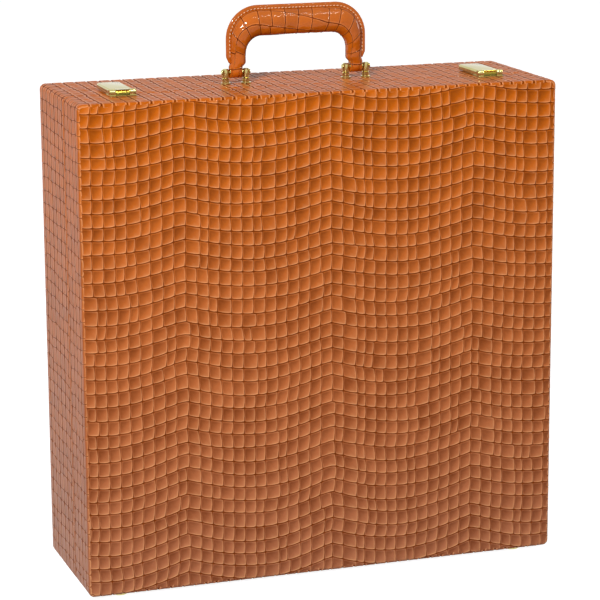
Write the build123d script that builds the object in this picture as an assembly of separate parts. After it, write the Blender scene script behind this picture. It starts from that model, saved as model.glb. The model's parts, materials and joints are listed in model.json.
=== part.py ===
# Upright storage case for chess pieces: a leather covered board case that opens like a
# briefcase, with a slotted tray in the deep rear half, a padded front lid, two brass lever
# latches and a hinged leather carrying handle.
# Millimetres. +X to the right, the front face looks along -Y, +Z up.
# The origin is on the surface the case stands on, under the middle of the case.
import os
from build123d import *

# Case
case_width = 420.0
case_height = 417.0
case_depth = 136.0
foot_height = 3.0
lid_depth = 49.0
seam_gap = 0.6
corner_radius = 5.0
edge_radius = 3.0

# Walls
cover_thickness = 1.2
board_thickness = 8.0
panel_thickness = 4.0
liner_thickness = 2.5
liner_lip = 5.0
lip_clearance = 0.4
foam_gap = 0.3

# Slotted tray and padding
slot_columns = 8
slot_rows = 3
tray_wall = 5.0
divider_thickness = 4.6
underlay_thickness = 22.3
tray_floor_thickness = 3.0
tray_gap = 0.5
tray_proud = 3.5
divider_setback = 1.0
pad_setback = 1.5
pad_thickness = 20.0
pad_inset = 4.0
pad_crown = 5.0
pad_corner = 16.0
pad_back_pull = 1.5
pad_side_pull = 1.0
pad_face_pull = 15.0

# Feet
foot_radius = 7.0
foot_chamfer = 0.8
foot_side_inset = 30.0
foot_edge_inset = 14.0
foot_stem_radius = 2.0
foot_stem_length = 6.0
foot_hole_gap = 0.05

# Hinges under the case
hinge_count = 3
hinge_spacing = 150.0
hinge_length = 42.0
knuckle_count = 5
knuckle_radius = 2.2
knuckle_gap = 0.15
hinge_relief = 0.4
leaf_thickness = 1.2
leaf_depth = 17.0
leaf_relief = 0.2
hinge_pin_radius = 1.2
pin_running_gap = 0.05
pin_head_radius = 1.9
pin_head_length = 0.8
screw_radius = 1.3
screw_head_radius = 2.5
screw_head_height = 1.0
screw_length = 8.0
screw_gap = 0.05
screws_per_leaf = 3
screw_row_inset = 6.0
screw_stagger = 1.5

# Latches on the top
latch_side_inset = 47.0
latch_width = 22.6
latch_axis_from_seam = 13.0
latch_knuckle_lift = 0.25
latch_knuckle_radius = 2.2
latch_knuckle_width = 11.6
latch_pin_radius = 1.0
latch_plate_thickness = 1.2
latch_plate_front = 5.0
latch_plate_margin = 1.2
plate_rivet_inset = 3.4
latch_web_back = 1.1
latch_side_gap = 0.2
lever_length = 48.0
lever_sheet = 0.9
lever_rise = 1.9
lever_skirt_drop = 0.9
lever_tip_rounding = 4.0
dome_width = 14.0
dome_height = 2.7
dome_wall = 0.9
dome_roof = 1.26
dome_bevel = 1.2
dome_front_gap = 3.4
dome_back_gap = 3.0
keeper_width = 16.0
keeper_length = 20.0
keeper_from_seam = 9.0
lug_width = 7.0
lug_length = 6.0
lug_height = 2.4
lug_rounding = 0.8
rivet_radius = 1.0
rivet_head_radius = 1.7
rivet_head_height = 0.3
rivet_length = 6.0
rivet_end_inset = 2.5
rivet_side_inset = 2.0

# Handle
handle_y = 5.0
handle_rise = 66.0
handle_pivot_rise = 10.0
grip_height = 21.6
grip_thickness = 18.0
leg_width = 13.0
leg_thickness = 11.0
welt_width = 4.0
welt_thickness = 3.0
welt_overlap = 3.0
handle_outer_width = 125.0
handle_outer_radius = 24.0
handle_inner_radius = 14.0
eye_radius = 5.0
shoulder_gap = 4.0
shoulder_slope = 5.0
core_thickness = 3.0
core_width = 8.0
core_bend_radius = 12.0
bush_radius = 2.6
post_spacing = 18.0
post_radius = 3.0
post_height = 13.0
post_foot_radius = 4.2
post_foot_height = 1.2
post_groove_height = 5.0
post_groove_width = 1.0
post_groove_depth = 0.7
post_dome = 1.0
post_stem_radius = 2.0
stem_hole_gap = 0.05
eye_side_gap = 0.3
handle_pin_radius = 1.25
handle_pin_head = 0.6
handle_pin_head_radius = 1.9
nut_radius = 3.6
nut_height = 2.2
nut_gap = 0.1

# Places worked out from the sizes above
half_width = case_width / 2
half_depth = case_depth / 2
base_z = foot_height
top_z = foot_height + case_height
middle_z = (base_z + top_z) / 2
seam_y = -half_depth + lid_depth
base_rim_y = seam_y + seam_gap / 2
lid_rim_y = seam_y - seam_gap / 2
board_inset = cover_thickness + board_thickness
liner_outer_inset = board_inset + lip_clearance
liner_inner_inset = liner_outer_inset + liner_thickness
back_panel_y = half_depth - cover_thickness - panel_thickness
front_panel_y = -half_depth + cover_thickness + panel_thickness
tray_inset = liner_inner_inset + tray_gap
slot_inset = tray_inset + tray_wall
tray_front_y = seam_y - tray_proud
tray_back_y = back_panel_y - underlay_thickness
slot_floor_y = tray_back_y - tray_floor_thickness
pad_front_y = tray_front_y - pad_setback
pad_back_y = pad_front_y - pad_thickness
drill_overrun = 1.0


def block(x, y, z):
    """A box from its low and high sides along each axis."""
    size = (x[1] - x[0], y[1] - y[0], z[1] - z[0])
    centre = ((x[0] + x[1]) / 2, (y[0] + y[1]) / 2, (z[0] + z[1]) / 2)
    return Pos(*centre) * Box(*size)


def rod_x(radius, x, y, z):
    """A round rod along X between two x values."""
    centre = ((x[0] + x[1]) / 2, y, z)
    return Pos(*centre) * Rot(0, 90, 0) * Cylinder(radius, x[1] - x[0])


def rod_z(radius, x, y, z):
    """A round rod along Z between two z values."""
    return Pos(x, y, (z[0] + z[1]) / 2) * Cylinder(radius, z[1] - z[0])


def slab(inset, y, rounding=0.0, rounded_side=None):
    """The case's front outline, moved in by an inset, as a slab between two y values."""
    plane = Plane(origin=(0, y[0], middle_z), x_dir=(1, 0, 0), z_dir=(0, 1, 0))
    width = case_width - 2 * inset
    height = case_height - 2 * inset
    if corner_radius > inset:
        outline = RectangleRounded(width, height, corner_radius - inset)
    else:
        outline = Rectangle(width, height)
    solid = extrude(plane * outline, y[1] - y[0])
    if rounding > 0:
        face = solid.faces().sort_by(Axis.Y)[rounded_side]
        solid = fillet(face.edges(), rounding)
    return solid


def wedge(side):
    """The part of the case's outline nearest one side, cut off by 45 degree mitres."""
    reach = min(half_width, case_height / 2) - 1
    outer_x, outer_z = half_width, case_height / 2
    inner_x, inner_z = outer_x - reach, outer_z - reach
    corners = {
        "top": [(-outer_x, outer_z), (outer_x, outer_z), (inner_x, inner_z), (-inner_x, inner_z)],
        "bottom": [(-outer_x, -outer_z), (outer_x, -outer_z), (inner_x, -inner_z), (-inner_x, -inner_z)],
        "left": [(-outer_x, -outer_z), (-outer_x, outer_z), (-inner_x, inner_z), (-inner_x, -inner_z)],
        "right": [(outer_x, -outer_z), (outer_x, outer_z), (inner_x, inner_z), (inner_x, -inner_z)],
    }[side]
    points = [(x, -half_depth, z + middle_z) for x, z in corners]
    face = make_face(Polyline(*points, close=True))
    return extrude(face, case_depth, dir=(0, 1, 0))


def cut_away(shape, tools):
    """A shape with each tool cut from it."""
    for tool in tools:
        shape = shape - tool
    return shape


def save(name, shapes):
    """Write one named piece, or a group of separate solids, to its own file."""
    if isinstance(shapes, (list, tuple)):
        solids = [solid for shape in shapes for solid in shape.solids()]
        shapes = Compound(children=solids) if len(solids) > 1 else solids[0]
    elif len(shapes.solids()) == 1:
        shapes = shapes.solids()[0]
    export_step(shapes, f"parts/{name}.step")


# Hinge layout
hinge_centres = [(i - (hinge_count - 1) / 2) * hinge_spacing for i in range(hinge_count)]
hinge_axis = (seam_y, base_z)


def hinge_reliefs():
    """Round clearances in both shells for the hinge knuckles and pin heads."""
    half = hinge_length / 2 + pin_head_length + hinge_relief
    radius = knuckle_radius + hinge_relief
    return [rod_x(radius, (x - half, x + half), *hinge_axis) for x in hinge_centres]


def leaf_screw_places(side):
    """Screw centres on the leaves of one side: +1 for the case, -1 for the lid."""
    pitch = (hinge_length - 2 * screw_row_inset) / (screws_per_leaf - 1)
    offsets = [-hinge_length / 2 + screw_row_inset + i * pitch for i in range(screws_per_leaf)]
    row_y = seam_y + side * (leaf_depth + knuckle_radius) / 2
    stagger = side * screw_stagger
    return [(x + offsets[i], row_y + (stagger if i % 2 else -stagger))
            for x in hinge_centres for i in range(screws_per_leaf)]


def hinge_screws(side):
    """Countersunk screws through the leaves into the bottom board."""
    leaf_z = base_z - leaf_thickness
    screws = []
    for x, y in leaf_screw_places(side):
        head = Pos(x, y, leaf_z + screw_head_height / 2) * Cone(
            screw_head_radius, screw_radius, screw_head_height)
        shank = rod_z(screw_radius, x, y, (leaf_z + screw_head_height, leaf_z + screw_length))
        screws.append(head + shank)
    return screws


def hinge_screw_holes(side):
    """Holes for the hinge screws in the cover and the bottom board."""
    return [rod_z(screw_radius + screw_gap, x, y, (base_z - drill_overrun,
            base_z - leaf_thickness + screw_length + screw_gap)) for x, y in leaf_screw_places(side)]


def hinge_leaf(centre_x, side):
    """One leaf of a butt hinge with its share of the knuckles: side +1 case, -1 lid."""
    leaf_z = (base_z - leaf_thickness, base_z)
    half = hinge_length / 2
    near = knuckle_radius + leaf_relief
    ys = sorted((seam_y + side * near, seam_y + side * leaf_depth))
    leaf = block((centre_x - half, centre_x + half), ys, leaf_z)
    outer_edges = leaf.edges().filter_by(Axis.Z).sort_by(Axis.Y)
    outer_edges = outer_edges[-2:] if side > 0 else outer_edges[:2]
    leaf = fillet(outer_edges, leaf_thickness)
    pitch = hinge_length / knuckle_count
    own = 0 if side > 0 else 1
    for k in range(own, knuckle_count, 2):
        x = (centre_x - half + k * pitch + knuckle_gap / 2,
             centre_x - half + (k + 1) * pitch - knuckle_gap / 2)
        web_y = sorted((seam_y, seam_y + side * (near + leaf_thickness)))
        leaf = leaf + block(x, web_y, leaf_z) + rod_x(knuckle_radius, x, *hinge_axis)
    bore = rod_x(hinge_pin_radius + pin_running_gap, (centre_x - half, centre_x + half), *hinge_axis)
    leaf = leaf - bore
    for x, y in leaf_screw_places(side):
        if abs(x - centre_x) < half:
            countersink = Pos(x, y, leaf_z[0] + screw_head_height / 2) * Cone(
                screw_head_radius + screw_gap, screw_radius + screw_gap, screw_head_height)
            leaf = leaf - countersink - rod_z(screw_radius + screw_gap, x, y, leaf_z)
    return leaf


def hinge_pin(centre_x):
    """A headed pin that runs through all the knuckles of one hinge."""
    half = hinge_length / 2
    pin = rod_x(hinge_pin_radius, (centre_x - half, centre_x + half), *hinge_axis)
    for end in (-1, 1):
        x = sorted((centre_x + end * half, centre_x + end * (half + pin_head_length)))
        pin = pin + rod_x(pin_head_radius, x, *hinge_axis)
    return pin


# Feet
foot_x = half_width - foot_side_inset
case_foot_places = [(-foot_x, half_depth - foot_edge_inset), (foot_x, half_depth - foot_edge_inset)]
lid_foot_places = [(-foot_x, -half_depth + foot_edge_inset), (foot_x, -half_depth + foot_edge_inset)]


def foot(x, y):
    """A flat brass foot with a stem into the bottom board."""
    disc = rod_z(foot_radius, x, y, (0, base_z))
    disc = chamfer(disc.edges().sort_by(Axis.Z)[0], foot_chamfer)
    return disc + rod_z(foot_stem_radius, x, y, (base_z, base_z + foot_stem_length))


def foot_holes(places):
    """Holes for the stems of the feet."""
    radius = foot_stem_radius + foot_hole_gap
    high = base_z + foot_stem_length + foot_hole_gap
    return [rod_z(radius, x, y, (base_z - drill_overrun, high)) for x, y in places]


# Latches
latch_centres = {"left": -(half_width - latch_side_inset), "right": half_width - latch_side_inset}
latch_y = seam_y - latch_axis_from_seam
latch_z = top_z + latch_plate_thickness + latch_knuckle_lift + latch_knuckle_radius
lever_z = top_z + lever_rise
keeper_y = (seam_y + keeper_from_seam, seam_y + keeper_from_seam + keeper_length)
lug_y = sum(keeper_y) / 2
plate_y = (latch_y - latch_plate_front, lid_rim_y - latch_plate_margin)
plate_rivet_offset = latch_width / 2 - plate_rivet_inset
plate_rivet_y = (latch_y + latch_knuckle_radius + plate_y[1]) / 2
keeper_rivet_offset = keeper_width / 2 - rivet_side_inset


def plate_rivet_places(centre_x):
    return [(centre_x + s * plate_rivet_offset, plate_rivet_y) for s in (-1, 1)]


def keeper_rivet_places(centre_x):
    return [(centre_x + s * keeper_rivet_offset, y)
            for s in (-1, 1) for y in (keeper_y[0] + rivet_end_inset, keeper_y[1] - rivet_end_inset)]


def rivet(x, y, plate_top):
    """A low headed rivet through a plate, the cover and into the board."""
    head = rod_z(rivet_head_radius, x, y, (plate_top, plate_top + rivet_head_height))
    return head + rod_z(rivet_radius, x, y, (plate_top - rivet_length, plate_top))


def rivet_holes(places):
    low = top_z + latch_plate_thickness - rivet_length - screw_gap
    return [rod_z(rivet_radius + screw_gap, x, y, (low, top_z + latch_plate_thickness + drill_overrun))
            for x, y in places]


def latch_plate(centre_x):
    """The lid plate with two side knuckles that carry the latch pin."""
    half = latch_width / 2
    plate_z = (top_z, top_z + latch_plate_thickness)
    plate = block((centre_x - half, centre_x + half), plate_y, plate_z)
    plate = fillet(plate.edges().filter_by(Axis.Z), latch_plate_thickness)
    inner = latch_knuckle_width / 2 + latch_side_gap
    for side in (-1, 1):
        x = sorted((centre_x + side * inner, centre_x + side * half))
        barrel = rod_x(latch_knuckle_radius, x, latch_y, latch_z)
        web = block(x, (latch_y - latch_knuckle_radius, latch_y + latch_web_back),
                    (top_z, latch_z))
        plate = plate + barrel + web
    bore = rod_x(latch_pin_radius, (centre_x - half, centre_x + half), latch_y, latch_z)
    return cut_away(plate - bore, rivet_holes(plate_rivet_places(centre_x)))


def latch_pin(centre_x):
    half = latch_width / 2
    return rod_x(latch_pin_radius, (centre_x - half, centre_x + half), latch_y, latch_z)


def latch_lever(centre_x):
    """The lever: a sheet with a hollow raised back, side skirts and the middle knuckle."""
    half = latch_width / 2
    back_y = latch_y + lever_length
    front_y = latch_y + latch_knuckle_radius + dome_wall
    lever = block((centre_x - half, centre_x + half), (front_y, back_y), (lever_z, lever_z + lever_sheet))
    tip_edges = lever.edges().filter_by(Axis.Z).sort_by(Axis.Y)[-2:]
    lever = fillet(tip_edges, lever_tip_rounding)
    dome_y = (front_y + dome_front_gap, back_y - dome_back_gap)
    dome_half = dome_width / 2
    dome = block((centre_x - dome_half, centre_x + dome_half), dome_y,
                 (lever_z, lever_z + lever_sheet + dome_height))
    dome = fillet(dome.edges().filter_by(Axis.Z), dome_height)
    dome = chamfer(dome.faces().sort_by(Axis.Z)[-1].edges(), dome_bevel)
    hollow_half = dome_half - dome_wall
    hollow = block((centre_x - hollow_half, centre_x + hollow_half),
                   (dome_y[0] + dome_wall, dome_y[1] - dome_wall),
                   (lever_z - lever_skirt_drop, lever_z + lever_sheet + dome_height - dome_roof))
    hollow = fillet(hollow.edges().filter_by(Axis.Z), dome_height - dome_wall)
    skirts = [block(sorted((centre_x + s * half, centre_x + s * (half - lever_sheet))),
                    (lid_rim_y, back_y - lever_tip_rounding), (lever_z - lever_skirt_drop, lever_z))
              for s in (-1, 1)]
    knuckle_half = latch_knuckle_width / 2
    knuckle_x = (centre_x - knuckle_half, centre_x + knuckle_half)
    barrel = rod_x(latch_knuckle_radius, knuckle_x, latch_y, latch_z)
    web = block(knuckle_x, (latch_y, front_y + dome_wall), (lever_z, lever_z + lever_sheet + dome_wall))
    lever = lever + dome + barrel + web - hollow
    for skirt in skirts:
        lever = lever + skirt
    return lever - rod_x(latch_pin_radius + pin_running_gap, knuckle_x, latch_y, latch_z)


def latch_keeper(centre_x):
    """The catch plate on the rear half, with the lug that the lever snaps over."""
    half = keeper_width / 2
    plate_top = top_z + latch_plate_thickness
    plate = block((centre_x - half, centre_x + half), keeper_y, (top_z, plate_top))
    plate = fillet(plate.edges().filter_by(Axis.Z), latch_plate_thickness)
    lug = block((centre_x - lug_width / 2, centre_x + lug_width / 2),
                (lug_y - lug_length / 2, lug_y + lug_length / 2), (top_z, plate_top + lug_height))
    lug = fillet(lug.faces().sort_by(Axis.Z)[-1].edges(), lug_rounding)
    return cut_away(plate + lug, rivet_holes(keeper_rivet_places(centre_x)))


# Handle
pivot_z = top_z + handle_pivot_rise
handle_leg_spacing = handle_outer_width - welt_width - leg_width
leg_centres = {"left": -handle_leg_spacing / 2, "right": handle_leg_spacing / 2}
tab_height = post_height - handle_pivot_rise + shoulder_gap
shoulder_height = tab_height + shoulder_slope
post_offsets = (-post_spacing / 2, post_spacing / 2)
tab_half = post_spacing / 2 - post_radius - eye_side_gap
handle_body_half = handle_outer_width / 2 - welt_width
handle_body_top = handle_rise - handle_pivot_rise - welt_width
grip_underside = handle_body_top - grip_height
stem_bottom = top_z - board_inset - lip_clearance - nut_height


def arch_face(half, top, radius):
    """A rounded arch outline about the pivot line, filled down past its foot."""
    drop = radius + shoulder_height
    outline = Rectangle(2 * half, top + drop)
    outline = Pos(0, (top - drop) / 2) * outline
    upper = outline.vertices().sort_by(Axis.Y)[-2:]
    return fillet(upper, radius)


def arch_band(outer_half, outer_top, outer_radius, inner_half, inner_top, inner_radius, low):
    """The band between two arch outlines, above a height over the pivot line."""
    band = arch_face(outer_half, outer_top, outer_radius) - arch_face(inner_half, inner_top, inner_radius)
    keep = Pos(0, low + outer_top / 2) * Rectangle(4 * outer_half, outer_top)
    return band & keep


def upright(sketch, thickness):
    """A sketch stood up in the plane of the handle and given a thickness along Y."""
    plane = Plane(origin=(0, handle_y - thickness / 2, pivot_z), x_dir=(1, 0, 0), z_dir=(0, -1, 0))
    return extrude(plane * sketch, -thickness)


def handle_side_limit():
    """The handle's side view: a round eye, straight legs and a thick rounded grip."""
    grip_half, leg_half = grip_thickness / 2, leg_thickness / 2
    neck = grip_underside - grip_half / 2
    top = handle_rise - handle_pivot_rise
    points = [(-eye_radius, 0), (-leg_half, shoulder_height), (-leg_half, neck),
              (-grip_half, grip_underside + grip_half / 2), (-grip_half, handle_body_top - grip_half),
              (-welt_thickness, top), (welt_thickness, top),
              (grip_half, handle_body_top - grip_half), (grip_half, grip_underside + grip_half / 2),
              (leg_half, neck), (leg_half, shoulder_height), (eye_radius, 0)]
    outline = make_face(Polyline(*points, close=True)) + Circle(eye_radius)
    plane = Plane(origin=(-handle_outer_width, handle_y, pivot_z), x_dir=(0, 1, 0), z_dir=(1, 0, 0))
    return extrude(plane * outline, 2 * handle_outer_width)


def handle_core():
    """The steel strap inside the handle, with an eye at each end."""
    mid = (handle_leg_spacing + core_thickness) / 2
    top = (grip_underside + handle_body_top + core_thickness) / 2
    band = arch_band(mid, top, core_bend_radius, mid - core_thickness, top - core_thickness,
                     core_bend_radius - core_thickness, 0)
    strap = upright(band, core_width)
    for centre_x in leg_centres.values():
        x = (centre_x - core_thickness / 2, centre_x + core_thickness / 2)
        strap = strap + rod_x(core_width / 2, x, handle_y, pivot_z)
    return strap


def bush_solid(centre_x, radius):
    return rod_x(radius, (centre_x - tab_half, centre_x + tab_half), handle_y, pivot_z)


def handle_leather():
    """The leather body: padded arch, welt along the outer edge and a tab at each foot."""
    body_band = arch_band(handle_body_half, handle_body_top, handle_outer_radius,
                          handle_body_half - leg_width, grip_underside, handle_inner_radius,
                          shoulder_height)
    for centre_x in leg_centres.values():
        side = 1 if centre_x > 0 else -1
        shoulder = [(side * (handle_body_half - leg_width), shoulder_height),
                    (side * handle_body_half, shoulder_height),
                    (centre_x + side * tab_half, tab_height),
                    (centre_x + side * tab_half, -eye_radius),
                    (centre_x - side * tab_half, -eye_radius),
                    (centre_x - side * tab_half, tab_height)]
        body_band = body_band + make_face(Polyline(*shoulder, close=True))
    body = upright(body_band, grip_thickness) & handle_side_limit()
    welt_band = arch_band(handle_body_half + welt_width, handle_body_top + welt_width,
                          handle_outer_radius + welt_width, handle_body_half - welt_overlap,
                          handle_body_top - welt_overlap, handle_outer_radius - welt_overlap,
                          shoulder_height)
    body = body + upright(welt_band, welt_thickness)
    body = body - handle_core()
    for centre_x in leg_centres.values():
        body = body - bush_solid(centre_x, bush_radius)
    return body


def handle_post(x):
    """A turned brass post with a foot ring, a groove, a domed top and a threaded stem."""
    groove_low = post_groove_height - post_groove_width / 2
    groove_high = post_groove_height + post_groove_width / 2
    stem_low = stem_bottom - top_z
    profile = [(0, stem_low), (post_stem_radius, stem_low), (post_stem_radius, 0),
               (post_foot_radius, 0), (post_foot_radius, post_foot_height),
               (post_radius, post_foot_height), (post_radius, groove_low),
               (post_radius - post_groove_depth, post_groove_height), (post_radius, groove_high),
               (post_radius, post_height - post_dome), (post_radius - post_dome, post_height),
               (0, post_height)]
    plane = Plane(origin=(x, handle_y, top_z), x_dir=(1, 0, 0), z_dir=(0, -1, 0))
    section = plane * make_face(Polyline(*profile, close=True))
    post = revolve(section, Axis((x, handle_y, 0), (0, 0, 1)), 360)
    bore = rod_x(handle_pin_radius, (x - post_radius, x + post_radius), handle_y, pivot_z)
    return post - bore


def handle_pin(centre_x):
    """The pin through both posts and the eye, with a thin head outside each post."""
    half = post_spacing / 2 + post_radius
    pin = rod_x(handle_pin_radius, (centre_x - half, centre_x + half), handle_y, pivot_z)
    for end in (-1, 1):
        x = sorted((centre_x + end * half, centre_x + end * (half + handle_pin_head)))
        pin = pin + rod_x(handle_pin_head_radius, x, handle_y, pivot_z)
    return pin


def post_places():
    return [centre_x + offset for centre_x in leg_centres.values() for offset in post_offsets]


def stem_holes(radius, low, high):
    return [rod_z(radius, x, handle_y, (low, high)) for x in post_places()]


def nut(x):
    """A six sided nut on a post's stem, let into the lining."""
    plane = Plane(origin=(x, handle_y, stem_bottom))
    body = extrude(plane * RegularPolygon(nut_radius, 6), nut_height)
    return body - rod_z(post_stem_radius, x, handle_y, (stem_bottom, stem_bottom + nut_height))


def cover(rim_y, outer_y, drill):
    """A leather skin over one half, turned in over the rim."""
    inward = 1 if outer_y > rim_y else -1
    rounded = -1 if inward > 0 else 0
    ys = sorted((rim_y, outer_y))
    skin_rim = rim_y + inward * cover_thickness
    skin_back = outer_y - inward * cover_thickness
    outer = slab(0, ys, edge_radius, rounded)
    inner = slab(cover_thickness, sorted((skin_rim, skin_back)), edge_radius - cover_thickness, rounded)
    window = slab(board_inset, sorted((rim_y - inward, skin_rim + inward)))
    return cut_away(outer - inner - window, drill)


def boards(rim_y, panel_y, drill):
    """The four mitred boards of one half, by side."""
    inward = 1 if panel_y > rim_y else -1
    ys = sorted((rim_y + inward * cover_thickness, panel_y))
    ring = slab(cover_thickness, ys) - slab(board_inset, ys)
    sides = {}
    for side in ("top", "bottom", "left", "right"):
        board = ring & wedge(side)
        if side in ("top", "bottom"):
            board = cut_away(board, drill)
        sides[side] = board
    return sides


def panel(inner_y, outer_y, rounded):
    """The board that closes one half, behind the skin."""
    skin_y = outer_y - (cover_thickness if outer_y > inner_y else -cover_thickness)
    return slab(cover_thickness, sorted((inner_y, skin_y)), edge_radius - cover_thickness, rounded)


def base_lining():
    """The lining of the deep half, which stands out past the rim as a lip."""
    ys = (seam_y - liner_lip, back_panel_y)
    ring = slab(liner_outer_inset, ys) - slab(liner_inner_inset, ys)
    recesses = stem_holes(nut_radius + nut_gap, stem_bottom - drill_overrun, top_z - board_inset)
    return [cut_away(ring & wedge(side), recesses if side == "top" else [])
            for side in ("top", "bottom", "left", "right")]


def lining_packers():
    """Card strips that fill the lip's clearance between the lining and the boards."""
    ys = (base_rim_y + cover_thickness, back_panel_y)
    ring = slab(board_inset, ys) - slab(liner_outer_inset, ys)
    holes = stem_holes(nut_radius + nut_gap, stem_bottom - drill_overrun, top_z - board_inset + drill_overrun)
    return [cut_away(ring & wedge(side), holes if side == "top" else [])
            for side in ("top", "bottom", "left", "right")]


def tray_frame():
    """The four outer walls of the slotted tray."""
    ys = (tray_front_y, slot_floor_y)
    ring = slab(tray_inset, ys) - slab(slot_inset, ys)
    return [ring & wedge(side) for side in ("top", "bottom", "left", "right")]


slot_span_x = case_width - 2 * slot_inset
slot_span_z = case_height - 2 * slot_inset
slot_width = (slot_span_x - (slot_columns - 1) * divider_thickness) / slot_columns
slot_height = (slot_span_z - (slot_rows - 1) * tray_wall) / slot_rows


def column_low(column):
    return -slot_span_x / 2 + column * (slot_width + divider_thickness)


def row_low(row):
    return base_z + slot_inset + row * (slot_height + tray_wall)


def tray_rails():
    """Long rails between the rows of slots."""
    return [block((-slot_span_x / 2, slot_span_x / 2), (tray_front_y, slot_floor_y),
                  (row_low(row) - tray_wall, row_low(row))) for row in range(1, slot_rows)]


def tray_dividers():
    """Short dividers between the slots of each row, set back a little from the rails."""
    return [block((column_low(column) - divider_thickness, column_low(column)),
                  (tray_front_y + divider_setback, slot_floor_y),
                  (row_low(row), row_low(row) + slot_height))
            for row in range(slot_rows) for column in range(1, slot_columns)]


def lid_pad():
    """The padded velvet panel in the lid: crowned, with sides that pull in."""
    half_x = half_width - liner_inner_inset - pad_inset
    half_z = case_height / 2 - liner_inner_inset - pad_inset
    sections = []
    for y, shrink in ((pad_back_y, pad_back_pull), ((pad_back_y + pad_front_y) / 2, 0.0),
                      (pad_front_y - pad_crown, pad_side_pull), (pad_front_y, pad_face_pull)):
        plane = Plane(origin=(0, y, middle_z), x_dir=(1, 0, 0), z_dir=(0, 1, 0))
        outline = RectangleRounded(2 * (half_x - shrink), 2 * (half_z - shrink), pad_corner)
        sections.append(plane * outline)
    return loft(sections, ruled=True)


def slab_block(inset, y):
    """A plain filling block inside a half."""
    return block((-half_width + inset, half_width - inset), y, (base_z + inset, top_z - inset))


os.makedirs("parts", exist_ok=True)

# Deep rear half
case_drill = hinge_reliefs() + hinge_screw_holes(1) + foot_holes(case_foot_places)
case_drill += stem_holes(post_stem_radius + stem_hole_gap, top_z - board_inset - drill_overrun,
                         top_z + drill_overrun)
for centre_x in latch_centres.values():
    case_drill += rivet_holes(keeper_rivet_places(centre_x))
save("base_cover", cover(base_rim_y, half_depth, case_drill))
for side, board in boards(base_rim_y, back_panel_y, case_drill).items():
    save(f"base_board_{side}", board)
save("base_back_panel", panel(back_panel_y, half_depth, -1))
save("base_lining", base_lining())
save("lining_packers", lining_packers())
save("tray_underlay", slab_block(tray_inset, (tray_back_y, back_panel_y)))
save("tray_floor", slab_block(tray_inset, (slot_floor_y, tray_back_y)))
save("tray_frame", tray_frame())
save("tray_rails", tray_rails())
save("tray_dividers", tray_dividers())
save("base_feet", [foot(x, y) for x, y in case_foot_places])

# Shallow front lid
lid_drill = hinge_reliefs() + hinge_screw_holes(-1) + foot_holes(lid_foot_places)
for centre_x in latch_centres.values():
    lid_drill += rivet_holes(plate_rivet_places(centre_x))
save("lid_cover", cover(lid_rim_y, -half_depth, lid_drill))
for side, board in boards(lid_rim_y, front_panel_y, lid_drill).items():
    save(f"lid_board_{side}", board)
save("lid_front_panel", panel(front_panel_y, -half_depth, 0))
save("lid_foam_block", slab_block(board_inset + foam_gap, (front_panel_y, pad_back_y)))
save("lid_pad", lid_pad())
save("lid_feet", [foot(x, y) for x, y in lid_foot_places])

# Hinges
for number, centre_x in enumerate(hinge_centres, start=1):
    save(f"hinge_{number}_base_leaf", hinge_leaf(centre_x, 1))
    save(f"hinge_{number}_lid_leaf", hinge_leaf(centre_x, -1))
    save(f"hinge_{number}_pin", hinge_pin(centre_x))
save("hinge_base_screws", hinge_screws(1))
save("hinge_lid_screws", hinge_screws(-1))

# Latches
plate_top_z = top_z + latch_plate_thickness
for side, centre_x in latch_centres.items():
    save(f"latch_{side}_plate", latch_plate(centre_x))
    save(f"latch_{side}_pin", latch_pin(centre_x))
    save(f"latch_{side}_lever", latch_lever(centre_x))
    save(f"latch_{side}_keeper", latch_keeper(centre_x))
save("latch_plate_rivets", [rivet(x, y, plate_top_z) for centre_x in latch_centres.values()
                            for x, y in plate_rivet_places(centre_x)])
save("keeper_rivets", [rivet(x, y, plate_top_z) for centre_x in latch_centres.values()
                       for x, y in keeper_rivet_places(centre_x)])

# Handle
save("handle_leather", handle_leather())
core = handle_core()
for centre_x in leg_centres.values():
    core = core - bush_solid(centre_x, bush_radius)
save("handle_core", core)
for side, centre_x in leg_centres.items():
    bore = bush_solid(centre_x, handle_pin_radius + pin_running_gap)
    save(f"handle_bush_{side}", bush_solid(centre_x, bush_radius) - bore)
    save(f"handle_posts_{side}", [handle_post(centre_x + offset) for offset in post_offsets])
    save(f"handle_pin_{side}", handle_pin(centre_x))
save("handle_nuts", [nut(x) for x in post_places()])
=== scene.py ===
import math
import random
from functools import partial

import bmesh
import bpy
from mathutils import Matrix, Vector, noise
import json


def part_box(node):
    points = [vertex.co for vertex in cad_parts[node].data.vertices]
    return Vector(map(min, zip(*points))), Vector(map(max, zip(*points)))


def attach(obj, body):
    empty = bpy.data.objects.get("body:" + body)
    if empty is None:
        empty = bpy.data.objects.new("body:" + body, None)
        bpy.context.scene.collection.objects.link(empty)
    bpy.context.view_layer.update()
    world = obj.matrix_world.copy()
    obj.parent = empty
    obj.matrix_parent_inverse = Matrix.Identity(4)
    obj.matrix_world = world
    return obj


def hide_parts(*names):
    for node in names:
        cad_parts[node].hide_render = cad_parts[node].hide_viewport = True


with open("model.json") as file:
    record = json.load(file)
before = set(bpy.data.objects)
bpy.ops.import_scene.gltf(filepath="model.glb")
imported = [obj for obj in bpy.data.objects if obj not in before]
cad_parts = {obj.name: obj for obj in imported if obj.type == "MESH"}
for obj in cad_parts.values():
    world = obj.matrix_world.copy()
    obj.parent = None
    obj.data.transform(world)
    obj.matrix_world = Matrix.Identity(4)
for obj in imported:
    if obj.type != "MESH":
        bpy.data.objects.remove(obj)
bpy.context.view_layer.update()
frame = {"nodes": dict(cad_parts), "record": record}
MM = 0.001

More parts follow.
